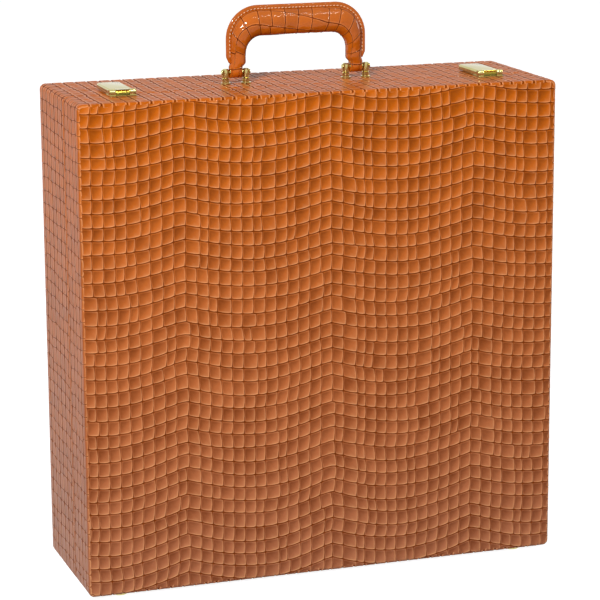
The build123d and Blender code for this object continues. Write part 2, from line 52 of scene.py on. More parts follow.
# The case's own sizes, read from the frame
lid_low, lid_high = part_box("lid_cover")
base_low, base_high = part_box("base_cover")
CASE_LEFT, CASE_RIGHT = base_low.x, base_high.x
CASE_BOTTOM, CASE_TOP = base_low.z, base_high.z
FRONT_Y, BACK_Y = lid_low.y, base_high.y
LID_RIM_Y, BASE_RIM_Y = lid_high.y, base_low.y
CORNER_RADIUS = 5.0 * MM
EDGE_RADIUS = 1.8 * MM
RIM_RADIUS = 0.5 * MM
RIM_TURN_IN = 7.4 * MM
EDGE_FLAP = 2.0 * MM
SHEET_RAISE = 0.7 * MM
SHEET_INSET = 1.5 * MM
SHEET_CORNER = 4.5 * MM
SHEET_SPARE = 18.0 * MM
SHEET_ROLL = 1.2 * MM
NOTCH_DEPTH = 2.6 * MM
NOTCH_CLEARANCE = 0.6 * MM

# Embossed leather
ROW_HEIGHT = 11.6 * MM
PANEL_STRETCH = 1.6
TILE_STEP = 2.45 * MM
BAND_STEP = 2.8 * MM
CROSS_ROW = 10.3 * MM
LONG_ROW = 13.0 * MM
BAND_STRETCH = 4.0
UPRIGHT_STRETCH = 6.0
SIDE_WRAP = 5.0 * MM
HANDLE_ROW = 11.0 * MM
HANDLE_STEP = 2.4 * MM
# Relief of one scale, from its edge inwards: width and rise of each step with its dark share
# (the first darkens the groove wall; negative for a lip, which lightens it as wear and painted
# highlight; positive further in is painted shade in the hollow), then the depth of the hollow middle
PANEL_RELIEF = (((0.21, 0.32, 0.6), (0.19, 0.12, -0.5), (0.34, -0.25, -0.1), (0.5, -0.29, 0.1)), 0.32)
BAND_RELIEF = (((0.16, 0.42, 0.6), (0.14, 0.14, -0.8), (0.32, -0.12, 0.0)), 0.12)
HANDLE_RELIEF = (((0.24, 0.38, 0.5), (0.22, 0.12, -1.0), (0.5, -0.14, 0.0)), 0.12)
SCALE_ROOM = 3.5
MIDDLE_DARK = 0.4
MIDDLE_LIFT = 0.45
MIDDLE_WAY = 0.93
SIZE_CLASSES = 8
WAVE_LENGTH = 129.0 * MM
WAVE_CREST_X = 5.5 * MM
CREST_ROUND = 0.004
# How strongly the painted light from the upper left shifts the dark share (painted shade in
# the hollows, painted highlight on the lips), and how much of it each step takes
PAINTED_LIGHT_STRENGTH = 0.71
PAINTED_LIGHT_SHARES = (0.0, 0.5, 0.32, 0.32)
CORNER_BLEND = 0.25
LEAN = 0.02
# Steps by which a joint leaves its own column: mostly none
DRIFTS = (-1, *(0,) * 11, 1)
SAME_PLACE = 1e-6


def place_object(name, data):
    item = bpy.data.objects.new(name, data)
    bpy.context.scene.collection.objects.link(item)
    return item


def mesh_from(name, bm, material):
    """Turn a finished bmesh into a mesh with one material."""
    mesh = bpy.data.meshes.new(name)
    bm.to_mesh(mesh)
    bm.free()
    mesh.materials.append(material)
    return mesh


def new_object(name, bm, material, body):
    """Turn a finished bmesh into a smooth piece that rides on a body."""
    piece = place_object(name, mesh_from(name, bm, material))
    for polygon in piece.data.polygons:
        polygon.use_smooth = True
    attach(piece, body)
    return piece


def round_edges(bm, edges, radius, segments):
    bmesh.ops.bevel(bm, geom=edges, offset=radius, offset_type="OFFSET", segments=segments, profile=0.5,
                    affect="EDGES", material=-1)


def fresh_verts(grown):
    return {g for g in grown if isinstance(g, bmesh.types.BMVert)}


def carried(ring, fresh):
    """The fresh point above each point of a ring that was just extruded."""
    return [next(e.other_vert(v) for e in v.link_edges if e.other_vert(v) in fresh) for v in ring]


# Shader helpers


def new_material(name):
    material = bpy.data.materials.new(name)
    material.use_nodes = True
    return material, material.node_tree.nodes, material.node_tree.links


def new_group(name, inputs, outputs):
    """A shader node group with named sockets: (name, type, default) in, (name, type) out."""
    tree = bpy.data.node_groups.new(name, "ShaderNodeTree")
    for socket_name, kind, value in inputs:
        socket = tree.interface.new_socket(socket_name, in_out="INPUT", socket_type=kind)
        socket.default_value = value
    for socket_name, kind in outputs:
        tree.interface.new_socket(socket_name, in_out="OUTPUT", socket_type=kind)
    return tree, tree.nodes.new("NodeGroupInput"), tree.nodes.new("NodeGroupOutput")


def math_node(nodes, links, operation, a, b=None, clamp=False):
    node = nodes.new("ShaderNodeMath")
    node.operation = operation
    node.use_clamp = clamp
    for socket, value in zip(node.inputs, (a, b)):
        if value is not None:
            plug(links, socket, value)
    return node.outputs[0]


def mix_colour(nodes, links, factor, a, b, blend="MIX"):
    node = nodes.new("ShaderNodeMix")
    node.data_type = "RGBA"
    node.blend_type = blend
    sockets = {s.identifier: s for s in node.inputs}
    for key, value in (("Factor_Float", factor), ("A_Color", a), ("B_Color", b)):
        plug(links, sockets[key], value)
    return next(s for s in node.outputs if s.identifier == "Result_Color")


def plug(links, socket, value):
    """Set a socket to a number or join it to another node's output."""
    if isinstance(value, (int, float, tuple)):
        socket.default_value = value
    else:
        links.new(value, socket)


def noise_texture(nodes, links, place, scale, detail):
    node = nodes.new("ShaderNodeTexNoise")
    plug(links, node.inputs["Scale"], scale)
    node.inputs["Detail"].default_value = detail
    links.new(place, node.inputs["Vector"])
    return node.outputs["Fac"]


def bump_normal(nodes, links, height, strength, distance):
    node = nodes.new("ShaderNodeBump")
    node.inputs["Distance"].default_value = distance
    plug(links, node.inputs["Strength"], strength)
    links.new(height, node.inputs["Height"])
    return node.outputs["Normal"]


def leather_group():
    """Dyed embossed leather: tone by scale, dark grooves, mottling and a fine pored surface.
    Painted light too: shade in the hollows, a highlight on the lips beside their wear, and a
    reflection of the floor low down.
    """
    tree, given, out = new_group(
        "dyed_leather",
        [("Colour", "NodeSocketColor", (0.6, 0.25, 0.06, 1)),
         ("Dark Colour", "NodeSocketColor", (0.2, 0.06, 0.01, 1)),
         ("Worn And Highlit Lip Colour", "NodeSocketColor", (0.8, 0.35, 0.1, 1)),
         ("Lip Wear And Painted Highlight", "NodeSocketFloat", 0.5),
         ("Painted Floor Reflection Colour", "NodeSocketColor", (0.4, 0.14, 0.04, 1)),
         ("Painted Floor Reflection Share", "NodeSocketFloat", 0.0),
         ("Tone Spread", "NodeSocketFloat", 0.3),
         ("Groove Tone", "NodeSocketFloat", 0.8),
         ("Gloss Roughness", "NodeSocketFloat", 0.22),
         ("Glaze", "NodeSocketFloat", 0.3),
         ("Lip Glaze", "NodeSocketFloat", 0.3),
         ("Pore Depth", "NodeSocketFloat", 0.1)],
        [("Colour", "NodeSocketColor"), ("Roughness", "NodeSocketFloat"), ("Coat", "NodeSocketFloat"),
         ("Normal", "NodeSocketVector")])
    nodes, links = tree.nodes, tree.links
    maths = partial(math_node, nodes, links)
    place = nodes.new("ShaderNodeTexCoord").outputs["Object"]
    tone = nodes.new("ShaderNodeAttribute")
    tone.attribute_name = "scale_tone"
    groove = nodes.new("ShaderNodeAttribute")
    groove.attribute_name = "groove"
    mottle = noise_texture(nodes, links, place, 70.0, 4.0)
    centred = maths("SUBTRACT", tone.outputs["Fac"], 0.5)
    spread = maths("MULTIPLY", centred, given.outputs["Tone Spread"])
    cloud = maths("MULTIPLY", maths("SUBTRACT", mottle, 0.5), 0.55)
    shade = maths("ADD", spread, cloud)
    groove_and_painted_shade = maths("MAXIMUM", groove.outputs["Fac"], 0.0)
    lip_and_painted_highlight = maths("MULTIPLY", groove.outputs["Fac"], -1.0, clamp=True)
    dark = maths("MULTIPLY", groove_and_painted_shade, given.outputs["Groove Tone"])
    amount = maths("ADD", dark, maths("SUBTRACT", 0.12, shade))
    amount = maths("MULTIPLY", amount, 1.0, clamp=True)
    height = nodes.new("ShaderNodeSeparateXYZ")
    links.new(place, height.inputs[0])
    # Painted reflection of the pale floor: towards the bottom of the case the colour turns duller and pinker
    low = maths("MULTIPLY", height.outputs["Z"], -1.0 / CASE_TOP)
    low = maths("ADD", low, 0.95, clamp=True)
    low = maths("MULTIPLY", low, given.outputs["Painted Floor Reflection Share"])
    body = mix_colour(nodes, links, low, given.outputs["Colour"], given.outputs["Painted Floor Reflection Colour"])
    # Dark colour: dark joints in the grooves, and painted shade where the groove attribute darkens the
    # hollows
    colour = mix_colour(nodes, links, amount, body, given.outputs["Dark Colour"])
    # Lip colour: rubbed wear on the lips together with a painted highlight, strongest on the lower right
    # lips of the front and back sheets
    worn_and_highlit = maths("MULTIPLY", lip_and_painted_highlight, given.outputs["Lip Wear And Painted Highlight"])
    colour = mix_colour(nodes, links, worn_and_highlit, colour, given.outputs["Worn And Highlit Lip Colour"])
    pores = nodes.new("ShaderNodeTexVoronoi")
    pores.feature = "DISTANCE_TO_EDGE"
    pores.inputs["Scale"].default_value = 900.0
    links.new(place, pores.inputs["Vector"])
    wrinkle = noise_texture(nodes, links, place, 260.0, 3.0)
    height = maths("ADD", maths("MULTIPLY", pores.outputs["Distance"], 0.5), maths("MULTIPLY", wrinkle, 2.2))
    normal = bump_normal(nodes, links, height, given.outputs["Pore Depth"], 0.6 * MM)
    rough = maths("MULTIPLY", cloud, 0.35)
    rough = maths("ADD", given.outputs["Gloss Roughness"], rough)
    rough = maths("ADD", rough, maths("MULTIPLY", groove_and_painted_shade, 0.3))
    open_face = maths("SUBTRACT", 1.0, groove_and_painted_shade)
    glaze = maths("ADD", maths("MULTIPLY", open_face, given.outputs["Glaze"]),
                  maths("MULTIPLY", lip_and_painted_highlight, given.outputs["Lip Glaze"]))
    links.new(colour, out.inputs["Colour"])
    links.new(glaze, out.inputs["Coat"])
    links.new(rough, out.inputs["Roughness"])
    links.new(normal, out.inputs["Normal"])
    return tree


LEATHER = leather_group()


def leather_material(name, colour, painted_reflection_colour, painted_reflection_share, dark, lip, lip_wear_and_highlight, tone_spread, roughness,
                     glaze, lip_glaze, glaze_roughness):
    material, nodes, links = new_material(name)
    shader = nodes["Principled BSDF"]
    group = nodes.new("ShaderNodeGroup")
    group.node_tree = LEATHER
    for socket, value in (
            ("Colour", (*colour, 1)), ("Dark Colour", (*dark, 1)), ("Worn And Highlit Lip Colour", (*lip, 1)),
            ("Painted Floor Reflection Colour", (*painted_reflection_colour, 1)), ("Lip Wear And Painted Highlight", lip_wear_and_highlight), ("Painted Floor Reflection Share", painted_reflection_share),
            ("Tone Spread", tone_spread), ("Gloss Roughness", roughness), ("Glaze", glaze),
            ("Lip Glaze", lip_glaze), ("Groove Tone", 1.0), ("Pore Depth", 0.03)):
        group.inputs[socket].default_value = value
    for output, socket in (("Colour", "Base Color"), ("Roughness", "Roughness"), ("Normal", "Normal"),
                           ("Coat", "Coat Weight")):
        links.new(group.outputs[output], shader.inputs[socket])
    shader.inputs["IOR"].default_value = 1.11
    shader.inputs["Coat Roughness"].default_value = glaze_roughness
    shader.inputs["Coat IOR"].default_value = 1.5
    return material


# The pale lip colour is rubbed wear with a painted highlight; the duller, pinker colour towards the bottom
# is a painted reflection of the floor
case_leather = leather_material(
    "case_leather", colour=(0.59, 0.130, 0.006), painted_reflection_colour=(0.40, 0.152, 0.080), painted_reflection_share=0.9,
    dark=(0.18, 0.030, 0.001), lip=(0.95, 0.46, 0.19), lip_wear_and_highlight=0.6, tone_spread=0.26, roughness=0.34,
    glaze=0.04, lip_glaze=0.5, glaze_roughness=0.12)
# The handle's pale lip colour is also rubbed wear with a painted highlight
handle_leather = leather_material(
    "handle_leather", colour=(0.57, 0.128, 0.006), painted_reflection_colour=(0.5, 0.12, 0.01), painted_reflection_share=0.0,
    dark=(0.12, 0.016, 0.001), lip=(0.82, 0.30, 0.06), lip_wear_and_highlight=0.3, tone_spread=0.24, roughness=0.2,
    glaze=0.4, lip_glaze=0.5, glaze_roughness=0.05)


# Embossed leather sheets


def smooth_random(x, y, seed):
    return noise.noise(Vector((x, y, seed * 7.31)))


def crest_wave(x):
    """A repeating wave with sharp crests and soft valleys, from 0 to 1."""
    return 1.0 - math.sqrt(math.sin(math.pi * (x - WAVE_CREST_X) / WAVE_LENGTH) ** 2 + CREST_ROUND)


def wander_joints(columns, rows, tile_columns, rng, wander):
    """Columns where the scales of each row meet: each joint stays near its own column."""
    homes = list(range(rng.choice((2, 3, 4)), columns - 1, tile_columns))
    drift = [0] * len(homes)
    table = []
    for row in range(rows):
        for number in range(len(homes)):
            if rng.random() < wander:
                drift[number] = rng.choice(DRIFTS)
        marks = []
        for home, offset in zip(homes, drift):
            mark = home + offset
            if mark - (marks[-1] if marks else 0) < tile_columns - 1:
                mark = home
            if mark - (marks[-1] if marks else 0) >= 2 and mark < columns - 1:
                marks.append(mark)
        table.append(set(marks))
    return table


def scale_sheet(length, height, row_line, tile_step, row_height, seed, tile_columns=4, scallop=0.2 * MM,
                wander=0.3, sway=2.4 * MM):
    """Flat leather between -length/2..length/2 and 0..height, cut in rows of scales between
    long lines that row_line(line number, x) places."""
    rng = random.Random(seed)
    bm = bmesh.new()
    columns = round(length / tile_step)
    margin = 3
    rows = int(height / row_height) + 2 * margin
    bmesh.ops.create_grid(bm, x_segments=columns, y_segments=rows, size=0.5)
    place = {v.index: (round((v.co.x + 0.5) * columns), round((v.co.y + 0.5) * rows)) for v in bm.verts}
    joints = wander_joints(columns, rows, tile_columns, rng, wander)
    spare = []
    for edge in bm.edges:
        (c0, r0), (c1, r1) = (place[v.index] for v in edge.verts)
        if c0 == c1 and 0 < c0 < columns and c0 not in joints[min(r0, r1)]:
            spare.append(edge)
    for vert in bm.verts:
        column, line = place[vert.index]
        x = (column / columns - 0.5) * length
        above = joints[min(line, rows - 1)]
        below = joints[max(line - 1, 0)]
        shift = rng.uniform(-0.15, 0.15) * tile_step
        if 0 < column < columns:
            edge = min(column, columns - column) / 3
            x += sway * min(1.0, edge) * smooth_random(x * 14, line * 0.55, seed + 0.5)
            if column in above or column in below:
                x += shift
        left = max((j for j in above if j <= column), default=0)
        right = min((j for j in above if j > column), default=columns)
        share = (column - left) / max(1, right - left)
        y = row_line(line - margin, x) - scallop * 4 * share * (1 - share)
        if y < 0.35 * row_height:
            y = 0.0
        if y > height - 0.35 * row_height:
            y = height
        vert.co = Vector((x, y, 0))
    bmesh.ops.dissolve_edges(bm, edges=spare, use_verts=False, use_face_split=False)
    flat = [f for f in bm.faces if f.calc_area() < 0.12 * tile_step * row_height]
    bmesh.ops.delete(bm, geom=flat, context="FACES")
    return bm


def soften_joints(bm, row_height):
    """Give each upright joint a middle point, where its groove stays shallower and paler."""
    middle = bm.verts.layers.float.new("joint_middle")
    uprights = []
    for edge in bm.edges:
        run = edge.verts[1].co - edge.verts[0].co
        if abs(run.y) > 0.4 * row_height and abs(run.y) > 1.5 * abs(run.x):
            uprights.append(edge)
    for edge in uprights:
        point = bmesh.utils.edge_split(edge, edge.verts[0], 0.5)[1]
        point[middle] = 1.0


def emboss(bm, seed, relief, painted_light=0.0):
    """Press grooves between the faces of a flat sheet, each scale with a lip standing up and a
    hollow middle. The lips end up at height 0. Light from the upper left is painted in by the given
    amount: painted shade in the upper left of each hollow and a painted highlight on the lower right lip."""
    steps, hollow = relief
    room = SCALE_ROOM * sum(step[0] for step in steps) * MM
    depth = sum(step[1] for step in steps if step[1] > 0) * MM
    rng = random.Random(seed)
    tone = bm.faces.layers.float.new("scale_tone")
    classes = {}
    for face in bm.faces:
        face[tone] = rng.random()
        across = max(v.co.x for v in face.verts) - min(v.co.x for v in face.verts)
        upward = max(v.co.y for v in face.verts) - min(v.co.y for v in face.verts)
        narrow = face.calc_area() / max(across, upward)
        size = max(1, min(SIZE_CLASSES, int(SIZE_CLASSES * narrow / room)))
        classes.setdefault(size / SIZE_CLASSES, []).append(face)
    # groove attribute: 1 in the grooves for dark joints, negative on the lips for wear with a painted
    # highlight, and moved by the painted light from the upper left
    groove_layer = bm.verts.layers.float.new("groove")
    middle_layer = bm.verts.layers.float.get("joint_middle")
    middles = [v for v in bm.verts if middle_layer and v[middle_layer] > 0.5]
    for vert in bm.verts:
        vert[groove_layer] = 1.0
    for vert in middles:
        vert[groove_layer] = MIDDLE_DARK
    for number, (width, rise, dark) in enumerate(steps):
        for size, faces in classes.items():
            bmesh.ops.inset_individual(bm, faces=faces, thickness=width * MM * size, depth=rise * MM * size,
                                       use_even_offset=True)
            for face in faces:
                centre = face.calc_center_median()
                for vert in face.verts:
                    way = (vert.co - centre).normalized()
                    # Painted light from the upper left: painted shade on the upper left of each scale,
                    # painted highlight on its lower right
                    lit = PAINTED_LIGHT_SHARES[number] * (painted_light * PAINTED_LIGHT_STRENGTH * (way.x - way.y))
                    vert[groove_layer] = max(-1.0, dark - lit)
                    if middles and number == 0 and abs(way.x) > MIDDLE_WAY:
                        vert[groove_layer] = MIDDLE_DARK / 2
                if number == 0:
                    round_corners(face)
                if number == len(steps) - 1:
                    tilt_scale(face, rng)
    for size, faces in classes.items():
        bmesh.ops.poke(bm, faces=faces, offset=-hollow * MM * size, center_mode="MEAN_WEIGHTED")
    for vert in middles:
        vert.co.z += MIDDLE_LIFT * depth
    if middle_layer:
        bm.verts.layers.float.remove(bm.verts.layers.float["joint_middle"])
    bmesh.ops.translate(bm, verts=bm.verts[:], vec=(0, 0, -depth))


def round_corners(face):
    """Pull the sharp corners of a scale in towards its middle."""
    points = [v.co.copy() for v in face.verts]
    count = len(points)
    for i, vert in enumerate(face.verts):
        before, after = points[i - 1], points[(i + 1) % count]
        a, b = before - points[i], after - points[i]
        if a.length > 1e-9 and b.length > 1e-9 and a.angle(b) < math.radians(135):
            reach = min(a.length, b.length, 1.1 * MM)
            middle = points[i] + (a.normalized() + b.normalized()) * reach / 2
            vert.co = points[i].lerp(middle, CORNER_BLEND)


def tilt_scale(face, rng):
    """Lean one scale's floor by a hair, so that neighbours catch the light unevenly."""
    centre = face.calc_center_median()
    lean_x, lean_y = rng.uniform(-LEAN, LEAN), rng.uniform(-LEAN, LEAN)
    for vert in face.verts:
        offset = vert.co - centre
        vert.co.z += offset.x * lean_x + offset.y * lean_y


def cut_across(bm, axis, places):
    """Cut a flat sheet across x (axis 0) or y (axis 1) at each place, so that it can bend there."""
    for value in places:
        point, normal = Vector((0, 0, 0)), Vector((0, 0, 0))
        point[axis], normal[axis] = value, 1
        near = [f for f in bm.faces
                if min(v.co[axis] for v in f.verts) <= value <= max(v.co[axis] for v in f.verts)]
        parts = {g for f in near for g in (f, *f.edges, *f.verts)}
        bmesh.ops.bisect_plane(bm, geom=list(parts), dist=SAME_PLACE, plane_co=point, plane_no=normal)


SHEET_HALF_X = (CASE_RIGHT - CASE_LEFT) / 2 - SHEET_INSET
SHEET_HALF_Z = (CASE_TOP - CASE_BOTTOM) / 2 - SHEET_INSET
SHEET_MIDDLE_X = (CASE_LEFT + CASE_RIGHT) / 2
SHEET_MIDDLE_Z = (CASE_BOTTOM + CASE_TOP) / 2
ROLL_STEPS = 4


def front_line(line, x):
    """Long lines of the lid's face: even rows that follow the crest wave, deeper lower down."""
    share = line * ROW_HEIGHT / (CASE_TOP - CASE_BOTTOM)
    depth = (14.0 - 6.0 * share) * MM
    drift = 1.7 * MM * smooth_random(x * 18, line * 0.7, 1.0)
    return line * ROW_HEIGHT + depth * (crest_wave(x) - 0.4) + drift


def back_line(line, x):
    share = line * ROW_HEIGHT / (CASE_TOP - CASE_BOTTOM)
    depth = (7.0 + 3.0 * share) * MM
    drift = 1.8 * MM * smooth_random(x * 16, line * 0.7, 5.0)
    return line * ROW_HEIGHT + depth * (crest_wave(x + 40 * MM) - 0.4) + drift


def trim_sheet(bm, length, height):
    """Cut a flat sheet to length and height about its middle."""
    for place, way in (((length / 2, 0, 0), (1, 0, 0)), ((-length / 2, 0, 0), (-1, 0, 0)),
                       ((0, height / 2, 0), (0, 1, 0)), ((0, -height / 2, 0), (0, -1, 0))):
        bmesh.ops.bisect_plane(bm, geom=bm.faces[:] + bm.edges[:] + bm.verts[:], dist=SAME_PLACE,
                               plane_co=place, plane_no=way, clear_outer=True)


def panel_sheet(name, line, seed, y, facing, body, node):
    """The embossed sheet glued on the front (facing -1) or back (facing +1) of the case, with
    rounded corners and its border rolled down."""
    flat = SHEET_CORNER - SHEET_ROLL
    flat_reach = flat + SHEET_ROLL * math.pi / 2
    extra = flat_reach - SHEET_CORNER
    length, height = 2 * (SHEET_HALF_X + extra), 2 * (SHEET_HALF_Z + extra)
    bm = scale_sheet(length + 2 * SHEET_SPARE, (height + 2 * SHEET_SPARE) / PANEL_STRETCH,
                     lambda i, x: line(i, x) / PANEL_STRETCH, TILE_STEP, ROW_HEIGHT / PANEL_STRETCH, seed)
    soften_joints(bm, ROW_HEIGHT / PANEL_STRETCH)
    # The front and back sheets get the painted light and shade from the upper left
    emboss(bm, seed + 1, PANEL_RELIEF, painted_light=1.0)
    bmesh.ops.scale(bm, verts=bm.verts[:], vec=(1, PANEL_STRETCH, 1))
    bmesh.ops.translate(bm, verts=bm.verts[:], vec=(0, -height / 2 - SHEET_SPARE, 0))
    trim_sheet(bm, length, height)
    rolls = [SHEET_ROLL * math.pi / 2 * i / ROLL_STEPS for i in range(ROLL_STEPS)]
    for axis, half in ((0, SHEET_HALF_X), (1, SHEET_HALF_Z)):
        start = half - SHEET_ROLL
        cut_across(bm, axis, [side * (start + roll) for roll in rolls for side in (-1, 1)])
    core_x, core_z = SHEET_HALF_X - SHEET_CORNER, SHEET_HALF_Z - SHEET_CORNER
    for vert in bm.verts:
        x, z, out = vert.co
        out = min(out, 0.0)
        reach = Vector((max(0.0, abs(x) - core_x), max(0.0, abs(z) - core_z)))
        far = reach.length
        sink = 0.0
        if far > 1e-9:
            way = reach / far
            far *= max(way.x, way.y) if min(way.x, way.y) > 0 else 1.0
            angle = max(0.0, far - flat) / SHEET_ROLL
            if angle > 0:
                far = flat + (SHEET_ROLL + out) * math.sin(angle)
                sink = SHEET_ROLL - (SHEET_ROLL + out) * math.cos(angle) + out
            x = math.copysign(core_x + way.x * far, x) if abs(x) > core_x else x
            z = math.copysign(core_z + way.y * far, z) if abs(z) > core_z else z
        vert.co = Vector((SHEET_MIDDLE_X + x, y - facing * (sink - out), SHEET_MIDDLE_Z + z))
    if facing > 0:
        bmesh.ops.reverse_faces(bm, faces=bm.faces[:])
    piece = new_object(name, bm, case_leather, body)
    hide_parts(node)


panel_sheet("lid_front_leather", front_line, 11, FRONT_Y, -1, "lid", "lid_cover")
panel_sheet("base_back_leather", back_line, 23, BACK_Y, 1, "base", "base_cover")


# Leather bands round the four sides

STRAIGHT_X = CASE_RIGHT - CASE_LEFT - 2 * CORNER_RADIUS
STRAIGHT_Z = CASE_TOP - CASE_BOTTOM - 2 * CORNER_RADIUS
QUARTER = CORNER_RADIUS * math.pi / 2
PERIMETER = 2 * (STRAIGHT_X + STRAIGHT_Z) + 4 * QUARTER
RIM_ARC, EDGE_ARC = RIM_RADIUS * math.pi / 2, EDGE_RADIUS * math.pi / 2


def outline(u):
    """A point and outward direction on the case's outline, a distance u along it from the
    left end of the straight bottom edge, up the right side and back over the top."""
    u %= PERIMETER
    turn = 0.0
    corner = Vector((-STRAIGHT_X / 2, -STRAIGHT_Z / 2))
    for run in (STRAIGHT_X, STRAIGHT_Z, STRAIGHT_X, STRAIGHT_Z):
        along = Vector((math.cos(turn), math.sin(turn)))
        out = Vector((math.sin(turn), -math.cos(turn)))
        if u <= run:
            return corner + along * u + out * CORNER_RADIUS, out
        u -= run
        corner = corner + along * run
        if u <= QUARTER:
            angle = turn + u / CORNER_RADIUS
            out = Vector((math.sin(angle), -math.cos(angle)))
            return corner + out * CORNER_RADIUS, out
        u -= QUARTER
        turn += math.pi / 2
    return corner + Vector((0, -CORNER_RADIUS)), Vector((0, -1))


def band_section(v, rim_y, end_y, facing):
    """Inset, y and tilt of the band's cross-section a distance v from its rim: v below 0 turns
    in over the rim, v past the side rolls over the outer edge. facing is -1 for the lid."""
    side = abs(end_y - rim_y) - RIM_RADIUS - EDGE_RADIUS
    if v < -RIM_ARC:
        return RIM_RADIUS - RIM_ARC - v, rim_y, -math.pi / 2
    if v < 0:
        angle = v / RIM_RADIUS
        return RIM_RADIUS * (1 - math.cos(angle)), rim_y + facing * RIM_RADIUS * (1 + math.sin(angle)), angle
    if v <= side:
        return 0.0, rim_y + facing * (RIM_RADIUS + v), 0.0
    if v <= side + EDGE_ARC:
        angle = (v - side) / EDGE_RADIUS
        y = end_y - facing * EDGE_RADIUS * (1 - math.sin(angle))
        return EDGE_RADIUS * (1 - math.cos(angle)), y, angle
    return EDGE_RADIUS + (v - side - EDGE_ARC), end_y, math.pi / 2


def wrap_band(bm, rim_y, end_y, facing):
    """Wrap a flat band (x along the outline, y across it, z outwards) round the case."""
    half_x, half_z = STRAIGHT_X / 2 + CORNER_RADIUS, STRAIGHT_Z / 2 + CORNER_RADIUS
    for vert in bm.verts:
        u, v, out = vert.co
        point, normal = outline(u)
        inset, y, tilt = band_section(v, rim_y, end_y, facing)
        inset -= math.cos(tilt) * out
        limit_x, limit_z = half_x - max(0.0, inset), half_z - max(0.0, inset)
        x = min(limit_x, max(-limit_x, point.x - normal.x * inset))
        z = min(limit_z, max(-limit_z, point.y - normal.y * inset))
        vert.co = Vector((SHEET_MIDDLE_X + x, y + facing * math.sin(tilt) * out, SHEET_MIDDLE_Z + z))


def band(name, rim_y, end_y, facing, body, node, seed):
    """The embossed band round one half of the case, rolled over its rim and its outer edge."""
    side = abs(end_y - rim_y) - RIM_RADIUS - EDGE_RADIUS
    low, high = -RIM_ARC - RIM_TURN_IN, side + EDGE_ARC + EDGE_FLAP
    across = high - low
    long_row = across / round(across / LONG_ROW)
    whole = bmesh.new()
    start = SIDE_WRAP
    bends = [low + RIM_TURN_IN + RIM_ARC * i / 2 for i in range(3)]
    bends += [side + EDGE_ARC * i / 5 for i in range(6)]
    runs = ((False, STRAIGHT_X - 2 * SIDE_WRAP), (True, STRAIGHT_Z + 2 * QUARTER + 2 * SIDE_WRAP)) * 2
    for number, (upright, run) in enumerate(runs):
        row = long_row if upright else run / round(run / CROSS_ROW)
        length, height = (run, across) if upright else (across, run)
        stretch = UPRIGHT_STRETCH if upright else BAND_STRETCH

        def line(i, x, row=row, layer=seed + number, stretch=stretch):
            return (i * row + 1.6 * MM * smooth_random(x * 21, i * 0.9, layer)) / stretch

        bm = scale_sheet(length, height / stretch, line, length / round(length / BAND_STEP),
                         row / stretch, seed + number, scallop=0.1 * MM)
        emboss(bm, seed + 10 + number, BAND_RELIEF)
        bmesh.ops.scale(bm, verts=bm.verts[:], vec=(1, stretch, 1))
        if upright:
            bmesh.ops.translate(bm, verts=bm.verts[:], vec=(start + run / 2, low, 0))
        else:
            turn = Matrix.Rotation(math.radians(-90), 4, "Z")
            bmesh.ops.transform(bm, matrix=turn, verts=bm.verts[:])
            bmesh.ops.translate(bm, verts=bm.verts[:], vec=(start, (low + high) / 2, 0))
        cut_across(bm, 1, bends)
        if upright:
            corners = (start + SIDE_WRAP, start + SIDE_WRAP + QUARTER + STRAIGHT_Z)
            cut_across(bm, 0, [corner + QUARTER * i / 5 for corner in corners for i in range(6)])
        if number == 0:
            cut_hinge_notches(bm)
        part = bpy.data.meshes.new("band_part")
        bm.to_mesh(part)
        bm.free()
        whole.from_mesh(part)
        bpy.data.meshes.remove(part)
        start += run
    wrap_band(whole, rim_y, end_y, facing)
    bmesh.ops.remove_doubles(whole, verts=whole.verts[:], dist=0.01 * MM)
    if facing > 0:
        bmesh.ops.reverse_faces(whole, faces=whole.faces[:])
    piece = new_object(name, whole, case_leather, body)
    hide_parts(node)


def cut_hinge_notches(bm):
    """Leave the rim of the bottom run open where the hinge knuckles sit."""
    ends = []
    for number in (1, 2, 3):
        low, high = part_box("hinge_%d_lid_leaf" % number)
        centre = (low.x + high.x) / 2 + STRAIGHT_X / 2
        reach = (high.x - low.x) / 2 + NOTCH_CLEARANCE
        ends.append((centre - reach, centre + reach))
    cut_across(bm, 0, [end for pair in ends for end in pair])
    cut_across(bm, 1, [NOTCH_DEPTH])
    gone = []
    for face in bm.faces:
        centre = face.calc_center_median()
        if centre.y < NOTCH_DEPTH and any(low < centre.x < high for low, high in ends):
            gone.append(face)
    bmesh.ops.delete(bm, geom=gone, context="FACES")


band("lid_band_leather", LID_RIM_Y, FRONT_Y + SHEET_RAISE, -1, "lid", "lid_cover", 31)
band("base_band_leather", BASE_RIM_Y, BACK_Y - SHEET_RAISE, 1, "base", "base_cover", 47)


# Carrying handle: padded leather body, sewn welt and thread

PIVOT_Z = 430.0 * MM
HANDLE_Y = 5.0 * MM
BODY_HALF, BODY_TOP, BODY_RADIUS = 58.5 * MM, 482.0 * MM, 24.0 * MM
INNER_HALF, INNER_TOP, INNER_RADIUS = 45.5 * MM, 460.4 * MM, 14.0 * MM
TAB_CENTRE, TAB_HALF, TAB_TOP = 54.0 * MM, 5.7 * MM, 434.6 * MM
SHOULDER_TOP = 437.6 * MM
EYE_RADIUS, LEG_THICK, GRIP_THICK = 5.0 * MM, 5.5 * MM, 9.0 * MM
WELT_WIDTH, WELT_HALF, WELT_OVERLAP = 4.0 * MM, 1.5 * MM, 1.5 * MM
STITCH_PITCH, STITCH_HALF, STITCH_THICK = 3.1 * MM, 1.15 * MM, 0.42 * MM
STITCH_REACH = 0.9 * MM
HANDLE_PERIMETER = 62.0 * MM
# Below 1 the padded section is fuller than an ellipse
SECTION_POWER = 0.85


